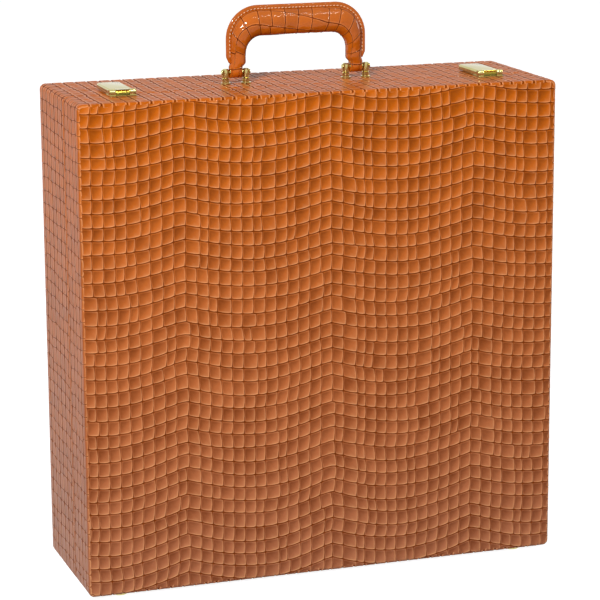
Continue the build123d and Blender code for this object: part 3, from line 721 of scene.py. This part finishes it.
def arch_line(half, top, radius, low, points):
    """Evenly numbered points of the left half of an arch: up the leg, round the corner, along."""
    line = []
    for share in points:
        if share <= 1:
            line.append(Vector((-half, low + (top - radius - low) * share)))
        elif share <= 2:
            angle = (share - 1) * math.pi / 2
            line.append(Vector((radius - half - radius * math.cos(angle),
                                top - radius + radius * math.sin(angle))))
        else:
            line.append(Vector((radius - half + (half - radius) * (share - 2), top)))
    return line


def handle_stations():
    """Matching points of the inner and outer contour with the half thickness between them."""
    legs = [i / 4 for i in range(5)] + [1 + i / 10 for i in range(1, 11)] + [2 + i / 8 for i in range(1, 9)]
    inner = arch_line(INNER_HALF, INNER_TOP, INNER_RADIUS, SHOULDER_TOP, legs)
    outer = arch_line(BODY_HALF, BODY_TOP, BODY_RADIUS, SHOULDER_TOP, legs)
    stations = []
    foot = PIVOT_Z - EYE_RADIUS
    for i in range(7):
        z = foot + EYE_RADIUS * (1 - math.cos(i * math.pi / 12))
        thick = math.sqrt(max(0.0, EYE_RADIUS ** 2 - (PIVOT_Z - z) ** 2))
        stations.append((Vector((TAB_HALF - TAB_CENTRE, z)), Vector((-TAB_HALF - TAB_CENTRE, z)), thick))
    stations.append((Vector((TAB_HALF - TAB_CENTRE, TAB_TOP)), Vector((-TAB_HALF - TAB_CENTRE, TAB_TOP)),
                     EYE_RADIUS))
    for share, a, b in zip(legs, inner, outer):
        ease = min(1.0, max(0.0, share - 0.4) / 1.3)
        ease = ease * ease * (3 - 2 * ease)
        stations.append((a, b, LEG_THICK + (GRIP_THICK - LEG_THICK) * ease))
    mirrored = [(Vector((-a.x, a.y)), Vector((-b.x, b.y)), t) for a, b, t in reversed(stations[:-1])]
    return stations + mirrored


STATIONS = handle_stations()
LENGTHS = [0.0]
for before, after in zip(STATIONS, STATIONS[1:]):
    LENGTHS.append(LENGTHS[-1] + ((after[0] + after[1]) / 2 - (before[0] + before[1]) / 2).length)
HANDLE_LENGTH = LENGTHS[-1]


def between(table, s):
    """The station a length s along the handle's middle line."""
    s = min(max(s, 0.0), HANDLE_LENGTH)
    low, high = 0, len(LENGTHS) - 1
    while high - low > 1:
        middle = (low + high) // 2
        if LENGTHS[middle] <= s:
            low = middle
        else:
            high = middle
    share = (s - LENGTHS[low]) / (LENGTHS[high] - LENGTHS[low])
    return [a + (b - a) * share for a, b in zip(table[low], table[high])]


def handle_surface(s, turn):
    """A point on the padded body: s along the middle line, turn from 0 to 1 round the section,
    from the welt over the front to the underside and back behind."""
    inner, outer, thick = between(STATIONS, s)
    angle = 2 * math.pi * turn
    across = math.copysign(abs(math.cos(angle)) ** SECTION_POWER, math.cos(angle))
    deep = math.copysign(abs(math.sin(angle)) ** SECTION_POWER, math.sin(angle))
    deep *= 1.0 - 0.12 * max(0.0, across)
    middle = (inner + outer) / 2
    place = middle + (outer - inner) / 2 * across
    return Vector((place.x, HANDLE_Y - deep * thick, place.y))


def handle_body():
    def line(i, x):
        drift = 4.5 * MM * smooth_random(x * 22, i * 0.9, 61)
        return i * HANDLE_ROW + drift + 0.15 * x

    bm = scale_sheet(HANDLE_LENGTH, HANDLE_PERIMETER, line, HANDLE_STEP, HANDLE_ROW, 61, tile_columns=5,
                     wander=0.7)
    emboss(bm, 62, HANDLE_RELIEF)
    cut_across(bm, 1, [HANDLE_PERIMETER * i / 16 for i in range(1, 16)])
    cut_across(bm, 0, [HANDLE_LENGTH * (i / 56 - 0.5) for i in range(1, 56)])
    small_s, small_turn = 0.4 * MM, 0.004
    for vert in bm.verts:
        s, turn = vert.co.x + HANDLE_LENGTH / 2, vert.co.y / HANDLE_PERIMETER
        place = handle_surface(s, turn)
        along = handle_surface(s + small_s, turn) - handle_surface(s - small_s, turn)
        around = handle_surface(s, turn + small_turn) - handle_surface(s, turn - small_turn)
        normal = along.cross(around)
        out = vert.co.z * min(1.0, (min(s, HANDLE_LENGTH - s) / (4 * MM)))
        if normal.length > 0:
            place += normal.normalized() * out
        vert.co = place
    bmesh.ops.remove_doubles(bm, verts=bm.verts[:], dist=0.01 * MM)
    bmesh.ops.dissolve_degenerate(bm, edges=bm.edges[:], dist=0.005 * MM)
    bmesh.ops.recalc_face_normals(bm, faces=bm.faces[:])
    piece = new_object("handle_padded_leather", bm, handle_leather, "handle")
    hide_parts("handle_leather")


def outer_contour(step):
    """Points and outward directions evenly along the body's outer edge, shoulder to shoulder."""
    shares = [i / 6 for i in range(7)]
    shares += [1 + i / 16 for i in range(1, 17)] + [2 + i / 12 for i in range(1, 13)]
    left = arch_line(BODY_HALF, BODY_TOP, BODY_RADIUS, SHOULDER_TOP, shares)
    line = left + [Vector((-p.x, p.y)) for p in reversed(left[:-1])]
    places = []
    lengths = [0.0]
    for a, b in zip(line, line[1:]):
        lengths.append(lengths[-1] + (b - a).length)
    count = max(2, round(lengths[-1] / step))
    segment = 0
    for i in range(count + 1):
        travelled = lengths[-1] * i / count
        while segment < len(line) - 2 and lengths[segment + 1] < travelled:
            segment += 1
        a, b = line[segment], line[segment + 1]
        way = (b - a).normalized()
        point = a + way * (travelled - lengths[segment])
        places.append((point, Vector((-way.y, way.x))))
    return places


def handle_welt():
    section = [(-WELT_OVERLAP, 1.0), (0.72 * WELT_WIDTH, 1.0), (0.93 * WELT_WIDTH, 0.72), (WELT_WIDTH, 0.0),
               (0.93 * WELT_WIDTH, -0.72), (0.72 * WELT_WIDTH, -1.0), (-WELT_OVERLAP, -1.0)]
    places = outer_contour(1.6 * MM)
    bm = bmesh.new()
    tone = bm.faces.layers.float.new("scale_tone")
    bm.verts.layers.float.new("groove")
    bmesh.ops.create_circle(bm, segments=len(section), radius=1)
    ring = sorted(bm.verts, key=lambda v: math.atan2(v.co.y, v.co.x))
    edges = bm.edges[:]

    def shape(verts, number):
        point, out = places[number]
        end = min(number, len(places) - 1 - number)
        width = min(1.0, 0.35 + 0.2 * end)
        for vert, (reach, side) in zip(verts, section):
            reach = reach if reach < 0 else reach * width
            wrinkle = 1 + 0.08 * smooth_random(number * 0.55, side, 71)
            vert.co = Vector((point.x + out.x * reach, HANDLE_Y + side * WELT_HALF * wrinkle,
                              point.y + out.y * reach))

    shape(ring, 0)
    for number in range(1, len(places)):
        grown = bmesh.ops.extrude_edge_only(bm, edges=edges)["geom"]
        fresh = fresh_verts(grown)
        ring = carried(ring, fresh)
        edges = [g for g in grown if isinstance(g, bmesh.types.BMEdge)
                 and all(v in fresh for v in g.verts)]
        shape(ring, number)
    bmesh.ops.holes_fill(bm, edges=[e for e in bm.edges if e.is_boundary], sides=0)
    for face in bm.faces:
        face[tone] = 0.35
    bmesh.ops.recalc_face_normals(bm, faces=bm.faces[:])
    piece = new_object("handle_welt", bm, handle_leather, "handle")
    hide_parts("handle_leather")


def handle_stitches():
    bm = bmesh.new()
    places = outer_contour(STITCH_PITCH)
    for point, out in places[2:-2]:
        for side in (-1, 1):
            made = bmesh.ops.create_uvsphere(bm, u_segments=6, v_segments=4, radius=1)["verts"]
            along = Vector((out.y, 0, -out.x))
            lean = along.cross(Vector((0, 1, 0))) * 0.12
            axes = Matrix((along + lean, Vector((out.x, 0, out.y)), Vector((0, side, 0)))).transposed()
            sizes = Matrix.Diagonal((STITCH_HALF, STITCH_THICK, STITCH_THICK))
            centre = Vector((point.x + out.x * STITCH_REACH, HANDLE_Y + side * WELT_HALF,
                             point.y + out.y * STITCH_REACH))
            matrix = Matrix.Translation(centre) @ (axes @ sizes).to_4x4()
            bmesh.ops.transform(bm, matrix=matrix, verts=made)
    bmesh.ops.recalc_face_normals(bm, faces=bm.faces[:])
    piece = new_object("handle_stitches", bm, thread, "handle")


def thread_material():
    material, nodes, links = new_material("waxed_thread")
    shader = nodes["Principled BSDF"]
    place = nodes.new("ShaderNodeTexCoord").outputs["Object"]
    twist = nodes.new("ShaderNodeTexWave")
    twist.inputs["Scale"].default_value = 900.0
    twist.inputs["Distortion"].default_value = 1.0
    links.new(place, twist.inputs["Vector"])
    colour = mix_colour(nodes, links, twist.outputs["Fac"], (0.95, 0.70, 0.46, 1), (0.80, 0.50, 0.26, 1))
    links.new(colour, shader.inputs["Base Color"])
    links.new(bump_normal(nodes, links, twist.outputs["Fac"], 0.3, 0.1 * MM), shader.inputs["Normal"])
    shader.inputs["Roughness"].default_value = 0.5
    return material


thread = thread_material()
handle_body()
handle_welt()
handle_stitches()


# Velvet, board, foam, card and metal


def grain_group():
    """Fine surface grain: a colour factor and a height, from two sizes of noise."""
    tree, given, out = new_group(
        "fine_grain",
        [("Coarse Scale", "NodeSocketFloat", 40.0), ("Fine Scale", "NodeSocketFloat", 900.0),
         ("Fine Share", "NodeSocketFloat", 0.5)],
        [("Fac", "NodeSocketFloat"), ("Height", "NodeSocketFloat")])
    nodes, links = tree.nodes, tree.links
    maths = partial(math_node, nodes, links)
    place = nodes.new("ShaderNodeTexCoord").outputs["Object"]
    coarse = noise_texture(nodes, links, place, given.outputs["Coarse Scale"], 3.0)
    fine = noise_texture(nodes, links, place, given.outputs["Fine Scale"], 3.0)
    keep = maths("SUBTRACT", 1.0, given.outputs["Fine Share"])
    total = maths("ADD", maths("MULTIPLY", coarse, keep),
                  maths("MULTIPLY", fine, given.outputs["Fine Share"]))
    spread = maths("SUBTRACT", total, 0.5)
    spread = maths("MULTIPLY", spread, 2.2)
    spread = maths("ADD", spread, 0.5, clamp=True)
    links.new(spread, out.inputs["Fac"])
    links.new(fine, out.inputs["Height"])
    return tree


GRAIN = grain_group()


def grained_material(name, colour, other, coarse, fine, fine_share, bump_mm, rough, rough_spread=0.0,
                     metal=0.0):
    material, nodes, links = new_material(name)
    shader = nodes["Principled BSDF"]
    group = nodes.new("ShaderNodeGroup")
    group.node_tree = GRAIN
    group.inputs["Coarse Scale"].default_value = coarse
    group.inputs["Fine Scale"].default_value = fine
    group.inputs["Fine Share"].default_value = fine_share
    mixed = mix_colour(nodes, links, group.outputs["Fac"], (*colour, 1), (*other, 1))
    links.new(mixed, shader.inputs["Base Color"])
    if rough_spread:
        change = math_node(nodes, links, "MULTIPLY", group.outputs["Fac"], rough_spread)
        links.new(math_node(nodes, links, "ADD", change, rough), shader.inputs["Roughness"])
    else:
        shader.inputs["Roughness"].default_value = rough
    normal = bump_normal(nodes, links, group.outputs["Height"], 0.5, bump_mm * MM)
    links.new(normal, shader.inputs["Normal"])
    shader.inputs["Metallic"].default_value = metal
    return material


velvet = grained_material("burgundy_velvet", (0.16, 0.012, 0.022), (0.075, 0.004, 0.010),
                          24.0, 1400.0, 0.35, 0.5, 0.85)
velvet_shader = velvet.node_tree.nodes["Principled BSDF"]
velvet_shader.inputs["Sheen Weight"].default_value = 0.7
velvet_shader.inputs["Sheen Roughness"].default_value = 0.35
velvet_shader.inputs["Sheen Tint"].default_value = (0.85, 0.35, 0.40, 1)
board = grained_material("lining_paper_board", (0.085, 0.010, 0.016), (0.05, 0.005, 0.009),
                         30.0, 700.0, 0.5, 0.3, 0.8)
foam = grained_material("grey_foam", (0.42, 0.42, 0.43), (0.25, 0.25, 0.26), 300.0, 1500.0, 0.6, 0.8, 0.95)
card = grained_material("grey_card", (0.38, 0.33, 0.26), (0.26, 0.22, 0.17), 60.0, 900.0, 0.6, 0.2, 0.9)
brass = grained_material("polished_brass", (0.62, 0.56, 0.25), (0.52, 0.45, 0.15),
                         35.0, 500.0, 0.2, 0.008, 0.07, 0.08, 1.0)
steel = grained_material("zinc_steel", (0.62, 0.62, 0.63), (0.48, 0.48, 0.50),
                         40.0, 600.0, 0.4, 0.03, 0.22, 0.18, 1.0)

FINISHES = {"case_leather": case_leather, "handle_leather": handle_leather, "board": board, "card": card,
            "velvet": velvet, "foam": foam, "brass": brass, "steel": steel}
for row in frame["record"]["subparts"]:
    node = frame["nodes"].get(row["node"])
    if node is not None:
        node.data.materials.clear()
        node.data.materials.append(FINISHES[row["material_slot"]])


# Velvet covered tray for the pieces

tray_low, tray_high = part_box("tray_frame")
floor_low, floor_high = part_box("tray_floor")
SLOT_COLUMNS, SLOT_ROWS = 8, 3
DIVIDER = 4.6 * MM
TRAY_WALL = 5.0 * MM
POCKET_ROUND = 1.9 * MM
POCKET_CROWN = 1.2 * MM
POCKET_PAD_INSET = 6.0 * MM


def cell_lines(low, high, count):
    """Wall, pocket and divider edges from low to high, as one sorted list."""
    lines = [low]
    pocket = (high - low - 2 * TRAY_WALL - (count - 1) * DIVIDER) / count
    place = low + TRAY_WALL
    for i in range(count):
        lines += [place, place + pocket]
        place += pocket + DIVIDER
    return lines + [high]


def tray_velvet():
    xs = cell_lines(tray_low.x, tray_high.x, SLOT_COLUMNS)
    zs = cell_lines(tray_low.z, tray_high.z, SLOT_ROWS)
    bm = bmesh.new()
    bmesh.ops.create_grid(bm, x_segments=len(xs) - 1, y_segments=len(zs) - 1, size=0.5)
    for vert in bm.verts:
        column = round((vert.co.x + 0.5) * (len(xs) - 1))
        row = round((vert.co.y + 0.5) * (len(zs) - 1))
        vert.co = Vector((xs[column], zs[row], 0))
    pockets = []
    for face in bm.faces:
        centre = face.calc_center_median()
        column = sum(1 for x in xs if x < centre.x) - 1
        row = sum(1 for z in zs if z < centre.y) - 1
        if column % 2 and row % 2:
            pockets.append(face)
    rim = [e for e in bm.edges if e.is_boundary]
    grown = bmesh.ops.extrude_edge_only(bm, edges=rim)["geom"]
    back = [g for g in grown if isinstance(g, bmesh.types.BMVert)]
    bmesh.ops.translate(bm, verts=back, vec=(0, 0, tray_low.y - floor_high.y))
    bmesh.ops.contextual_create(bm, geom=[g for g in grown if isinstance(g, bmesh.types.BMEdge)])
    deep = tray_low.y - floor_low.y
    walls = bmesh.ops.inset_individual(bm, faces=pockets, thickness=0.0, depth=deep)["faces"]
    edges = list({e for f in walls for e in f.edges})
    edges += [e for e in bm.edges if e in rim]
    bmesh.ops.bevel(bm, geom=edges, offset=POCKET_ROUND, offset_type="OFFSET", segments=4, profile=0.5,
                    affect="EDGES", material=-1, clamp_overlap=True)
    floors = [f for f in bm.faces if f.normal.z > 0.99 and abs(f.calc_center_median().z - deep) < 0.1 * MM
              and f.calc_area() > 0.002]
    for width, rise in ((POCKET_PAD_INSET, 0.5), (POCKET_PAD_INSET, 0.35), (0.6 * POCKET_PAD_INSET, 0.15)):
        bmesh.ops.inset_individual(bm, faces=floors, thickness=width, depth=rise * POCKET_CROWN)
    for vert in bm.verts:
        x, z, out = vert.co
        vert.co = Vector((x, tray_low.y - out, z))
    bmesh.ops.recalc_face_normals(bm, faces=bm.faces[:])
    piece = new_object("tray_velvet_cover", bm, velvet, "base")
    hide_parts("tray_frame", "tray_rails", "tray_dividers", "tray_floor")


def rectangle_ring(name, stations, material, body):
    """A closed ring round the case's middle: stations are (inset, y) pairs of its section."""
    bm = bmesh.new()
    bmesh.ops.create_circle(bm, segments=4, radius=1)
    corners = sorted(bm.verts, key=lambda v: math.atan2(v.co.y, v.co.x))
    signs = [(1, 1), (-1, 1), (-1, -1), (1, -1)]

    def shape(verts, inset, y):
        for vert, (side_x, side_z) in zip(verts, signs):
            x = side_x * (CASE_RIGHT - inset)
            z = SHEET_MIDDLE_Z + side_z * ((CASE_TOP - CASE_BOTTOM) / 2 - inset)
            vert.co = Vector((x, y, z))

    shape(corners, *stations[0])
    for inset, y in stations[1:]:
        edges = [e for e in bm.edges if all(v in corners for v in e.verts)]
        grown = bmesh.ops.extrude_edge_only(bm, edges=edges)["geom"]
        corners = carried(corners, fresh_verts(grown))
        shape(corners, inset, y)
    ends = [e for e in bm.edges if e.is_boundary]
    bmesh.ops.bridge_loops(bm, edges=ends)
    bmesh.ops.recalc_face_normals(bm, faces=bm.faces[:])
    piece = new_object(name, bm, material, body)
    return piece


def base_lining_velvet():
    low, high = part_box("base_lining")
    outer = CASE_RIGHT - high.x
    thick = 2.5 * MM
    lip, round_over = low.y, 1.1 * MM
    stations = [(outer, high.y), (outer, lip + round_over)]
    for i in range(1, 6):
        angle = math.pi * i / 6
        stations.append((outer + thick / 2 * (1 - math.cos(angle)),
                         lip + round_over * (1 - math.sin(angle))))
    stations += [(outer + thick, lip + round_over), (outer + thick, high.y)]
    piece = rectangle_ring("base_lining_cover", stations, velvet, "base")
    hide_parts("base_lining")


PAD_SHRINK = 3.0 * MM
PAD_CAP = 5.0 * MM
PAD_VOXEL = 5.0 * MM
PAD_CORNER = 14.0 * MM
PAD_PRESSURE = 4.0
PAD_FRAMES = 20


def lid_cushion():
    """The velvet pad that presses on the pieces: a cushion swollen by cloth simulation."""
    low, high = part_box("lid_pad")
    bm = bmesh.new()
    bmesh.ops.create_cube(bm, size=1)
    size = high - low
    middle = (low + high) / 2
    for vert in bm.verts:
        vert.co = Vector((vert.co.x * (size.x - 2 * PAD_SHRINK), vert.co.y * (size.y - 2.4 * PAD_SHRINK),
                          vert.co.z * (size.z - 2 * PAD_SHRINK))) + middle
    upright = [e for e in bm.edges if abs(e.verts[0].co.y - e.verts[1].co.y) > 1 * MM]
    round_edges(bm, upright, PAD_CORNER, 5)
    piece = new_object("lid_velvet_cushion", bm, velvet, "lid")
    bpy.context.view_layer.objects.active = piece
    remesh = piece.modifiers.new("even_mesh", "REMESH")
    remesh.mode = "VOXEL"
    remesh.voxel_size = PAD_VOXEL
    apply_modifiers(piece)
    flat = [v.co.copy() for v in piece.data.vertices]
    cloth = piece.modifiers.new("padding", "CLOTH")
    cloth.settings.use_pressure = True
    cloth.settings.uniform_pressure_force = PAD_PRESSURE
    cloth.settings.effector_weights.gravity = 0.0
    scene = bpy.context.scene
    for number in range(PAD_FRAMES):
        scene.frame_set(number + 1)
    apply_modifiers(piece)
    scene.frame_set(1)
    for vert, start in zip(piece.data.vertices, flat):
        move = vert.co - start
        if move.length > PAD_CAP:
            move = move.normalized() * PAD_CAP
        vert.co = start + move
    for vert in piece.data.vertices:
        vert.co.x = min(high.x, max(low.x, vert.co.x))
        vert.co.z = min(high.z, max(low.z, vert.co.z))
        vert.co.y = min(high.y - 0.2 * MM, max(low.y, vert.co.y))
    finer = piece.modifiers.new("soft", "SUBSURF")
    finer.levels = finer.render_levels = 1
    apply_modifiers(piece)
    for polygon in piece.data.polygons:
        polygon.use_smooth = True
    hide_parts("lid_pad")


def apply_modifiers(piece):
    """Keep a piece's evaluated shape as its own mesh and drop its modifiers."""
    graph = bpy.context.evaluated_depsgraph_get()
    shaped = bpy.data.meshes.new_from_object(piece.evaluated_get(graph))
    old = piece.data
    piece.modifiers.clear()
    piece.data = shaped
    bpy.data.meshes.remove(old)


tray_velvet()
base_lining_velvet()
lid_cushion()


# Brass latch levers: a stamped shell with a square fronted knuckle

LEVER_WALL = 0.8 * MM
LEVER_DROP = 0.1 * MM
LEVER_SIDE = 1.1 * MM
KNUCKLE_RADIUS = 2.2 * MM
KNUCKLE_HALF = 5.8 * MM
PLATE_THICK = 1.2 * MM
LEVER_CORNER = 4.0 * MM
LEVER_ROUND = 1.5 * MM
# The knuckle's outer outline, along +Y and +Z from the pin's axis
KNUCKLE_LINE = ((3.6, 2.2), (-1.6, 2.2), (-2.2, 1.6), (-2.2, -1.0), (-1.6, -1.5), (-0.85, -2.0),
                (0.4, -2.15), (1.6, -1.9), (3.6, -1.9))
KNUCKLE_INNER = ((3.6, -1.3), (1.2, -1.3), (0.2, -1.45), (-0.9, -1.2), (-1.5, -0.6), (-1.5, 1.2),
                 (-1.1, 1.5), (3.6, 1.5))


def latch_lever(side):
    low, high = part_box("latch_%s_lever" % side)
    axis_y, axis_z = low.y + KNUCKLE_RADIUS, high.z - KNUCKLE_RADIUS
    front = axis_y + KNUCKLE_RADIUS + 0.9 * MM
    bottom, top = CASE_TOP + PLATE_THICK + LEVER_DROP, high.z - 0.35 * MM
    middle = Vector(((low.x + high.x) / 2, (front + high.y) / 2, (bottom + top) / 2))
    bm = bmesh.new()
    bmesh.ops.create_cube(bm, size=1)
    for vert in bm.verts:
        x, y, z = vert.co
        vert.co = middle + Vector((x * (high.x - low.x - 2 * LEVER_SIDE), y * (high.y - front),
                                   z * (top - bottom)))
    tips = [e for e in bm.edges if all(v.co.y > middle.y for v in e.verts)
            and abs(e.verts[0].co.z - e.verts[1].co.z) > 1 * MM]
    round_edges(bm, tips, LEVER_CORNER, 5)
    bmesh.ops.delete(bm, geom=[f for f in bm.faces if f.normal.z < -0.9], context="FACES_ONLY")
    rim = [e for e in bm.edges if all(v.co.z > middle.z for v in e.verts)]
    round_edges(bm, rim, LEVER_ROUND, 4)
    bmesh.ops.solidify(bm, geom=bm.faces[:], thickness=LEVER_WALL)
    start = [bm.verts.new((middle.x - KNUCKLE_HALF, axis_y + y * MM, axis_z + z * MM))
             for y, z in (*KNUCKLE_LINE, *KNUCKLE_INNER)]
    end_cap = bmesh.ops.contextual_create(bm, geom=start)["faces"]
    grown = bmesh.ops.extrude_face_region(bm, geom=end_cap)["geom"]
    moved = [g for g in grown if isinstance(g, bmesh.types.BMVert)]
    bmesh.ops.translate(bm, verts=moved, vec=(2 * KNUCKLE_HALF, 0, 0))
    bmesh.ops.recalc_face_normals(bm, faces=bm.faces[:])
    piece = new_object("latch_%s_lever_shell" % side, bm, brass, "latch_" + side)
    piece.data.set_sharp_from_angle(angle=math.radians(35))
    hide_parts("latch_%s_lever" % side)


for side in ("left", "right"):
    latch_lever(side)


# Camera, at the photograph's place and angle

CAMERA_PLACE = Vector((-0.680, -2.0166, 0.7177))
CAMERA_YAW = math.radians(18.65)
CAMERA_PITCH = math.radians(-12.94)
CAMERA_ROLL = math.radians(-0.32)
SENSOR_MM = 36.0
PHOTO_SIDE_PX = 600
FOCAL_PX = 2512


def add_camera():
    data = bpy.data.cameras.new("camera")
    data.sensor_width = SENSOR_MM
    data.lens = FOCAL_PX / PHOTO_SIDE_PX * SENSOR_MM
    camera = place_object("camera", data)
    forward = Vector((math.sin(CAMERA_YAW) * math.cos(CAMERA_PITCH),
                      math.cos(CAMERA_YAW) * math.cos(CAMERA_PITCH), math.sin(CAMERA_PITCH)))
    right = forward.cross(Vector((0, 0, 1))).normalized()
    up = right.cross(forward)
    across = right * math.cos(CAMERA_ROLL) + up * math.sin(CAMERA_ROLL)
    upward = up * math.cos(CAMERA_ROLL) - right * math.sin(CAMERA_ROLL)
    turned = Matrix((across, upward, -forward)).transposed().to_4x4()
    camera.matrix_world = Matrix.Translation(CAMERA_PLACE) @ turned
    bpy.context.scene.camera = camera


add_camera()


# Floor, world and lamps

FLOOR_REACH = 6.0
FLOOR_GLOW = 0.94
# How far below the floor the opened lid reaches
LID_REACH = 0.45


def seen_rays(maths, path):
    """1 for rays that show a surface to the camera: straight, by a reflection or through glass."""
    seen = maths("MAXIMUM", path.outputs["Is Camera Ray"], path.outputs["Is Glossy Ray"])
    return maths("MAXIMUM", seen, path.outputs["Is Transmission Ray"])


def add_floor():
    """A pale floor that keeps the shadow. Where the opened lid passes below it, it clears, and
    lamp light goes through it, so that the lid is lit there as it would be on a table's edge."""
    bm = bmesh.new()
    bmesh.ops.create_grid(bm, x_segments=1, y_segments=1, size=FLOOR_REACH)
    material, nodes, links = new_material("floor")
    maths = partial(math_node, nodes, links)
    shader = nodes["Principled BSDF"]
    shader.inputs["Base Color"].default_value = (0.35, 0.35, 0.35, 1)
    shader.inputs["Roughness"].default_value = 0.95
    shader.inputs["Emission Color"].default_value = (1, 1, 1, 1)
    path = nodes.new("ShaderNodeLightPath")
    links.new(maths("MULTIPLY", seen_rays(maths, path), FLOOR_GLOW), shader.inputs["Emission Strength"])
    below = nodes.new("ShaderNodeAmbientOcclusion")
    below.inside = True
    below.samples = 64
    below.inputs["Distance"].default_value = LID_REACH
    clear = maths("LESS_THAN", below.outputs["AO"], 0.999)
    clear = maths("MULTIPLY", clear, path.outputs["Is Camera Ray"])
    clear = maths("MAXIMUM", clear, path.outputs["Is Shadow Ray"])
    open_way = nodes.new("ShaderNodeBsdfTransparent")
    mix = nodes.new("ShaderNodeMixShader")
    links.new(clear, mix.inputs[0])
    links.new(shader.outputs[0], mix.inputs[1])
    links.new(open_way.outputs[0], mix.inputs[2])
    links.new(mix.outputs[0], nodes["Material Output"].inputs["Surface"])
    floor = place_object("floor", mesh_from("floor", bm, material))


def add_world():
    world = bpy.data.worlds.new("studio")
    bpy.context.scene.world = world
    world.use_nodes = True
    nodes, links = world.node_tree.nodes, world.node_tree.links
    ambient = nodes["Background"]
    ambient.inputs["Color"].default_value = (1, 1, 1, 1)
    ambient.inputs["Strength"].default_value = 0.06
    seen = nodes.new("ShaderNodeBackground")
    seen.inputs["Color"].default_value = (1, 1, 1, 1)
    seen.inputs["Strength"].default_value = 1.0
    path = nodes.new("ShaderNodeLightPath")
    mix = nodes.new("ShaderNodeMixShader")
    links.new(seen_rays(partial(math_node, nodes, links), path), mix.inputs[0])
    links.new(ambient.outputs[0], mix.inputs[1])
    links.new(seen.outputs[0], mix.inputs[2])
    links.new(mix.outputs[0], nodes["World Output"].inputs["Surface"])


def add_lamp(name, place, target, size, power):
    data = bpy.data.lights.new(name, "AREA")
    data.shape = "RECTANGLE"
    data.size, data.size_y = size
    data.energy = power
    lamp = place_object(name, data)
    lamp.location = place
    lamp.rotation_euler = (Vector(target) - Vector(place)).to_track_quat("-Z", "Y").to_euler()


add_floor()
add_world()
add_lamp("key", (-1.45, -2.05, 1.65), (0, 0, 0.25), (0.4, 0.4), 68.0)
add_lamp("strip", (0.8, -1.5, 2.2), (0, 0, 0.45), (1.1, 0.08), 15.0)
add_lamp("side", (2.4, 0.3, 0.9), (0, 0, 0.2), (0.8, 0.8), 12.0)
add_lamp("back", (-1.8, 2.2, 1.5), (0, 0, 0.2), (1.2, 0.8), 24.0)

bpy.context.scene.view_settings.view_transform = "Standard"

import json
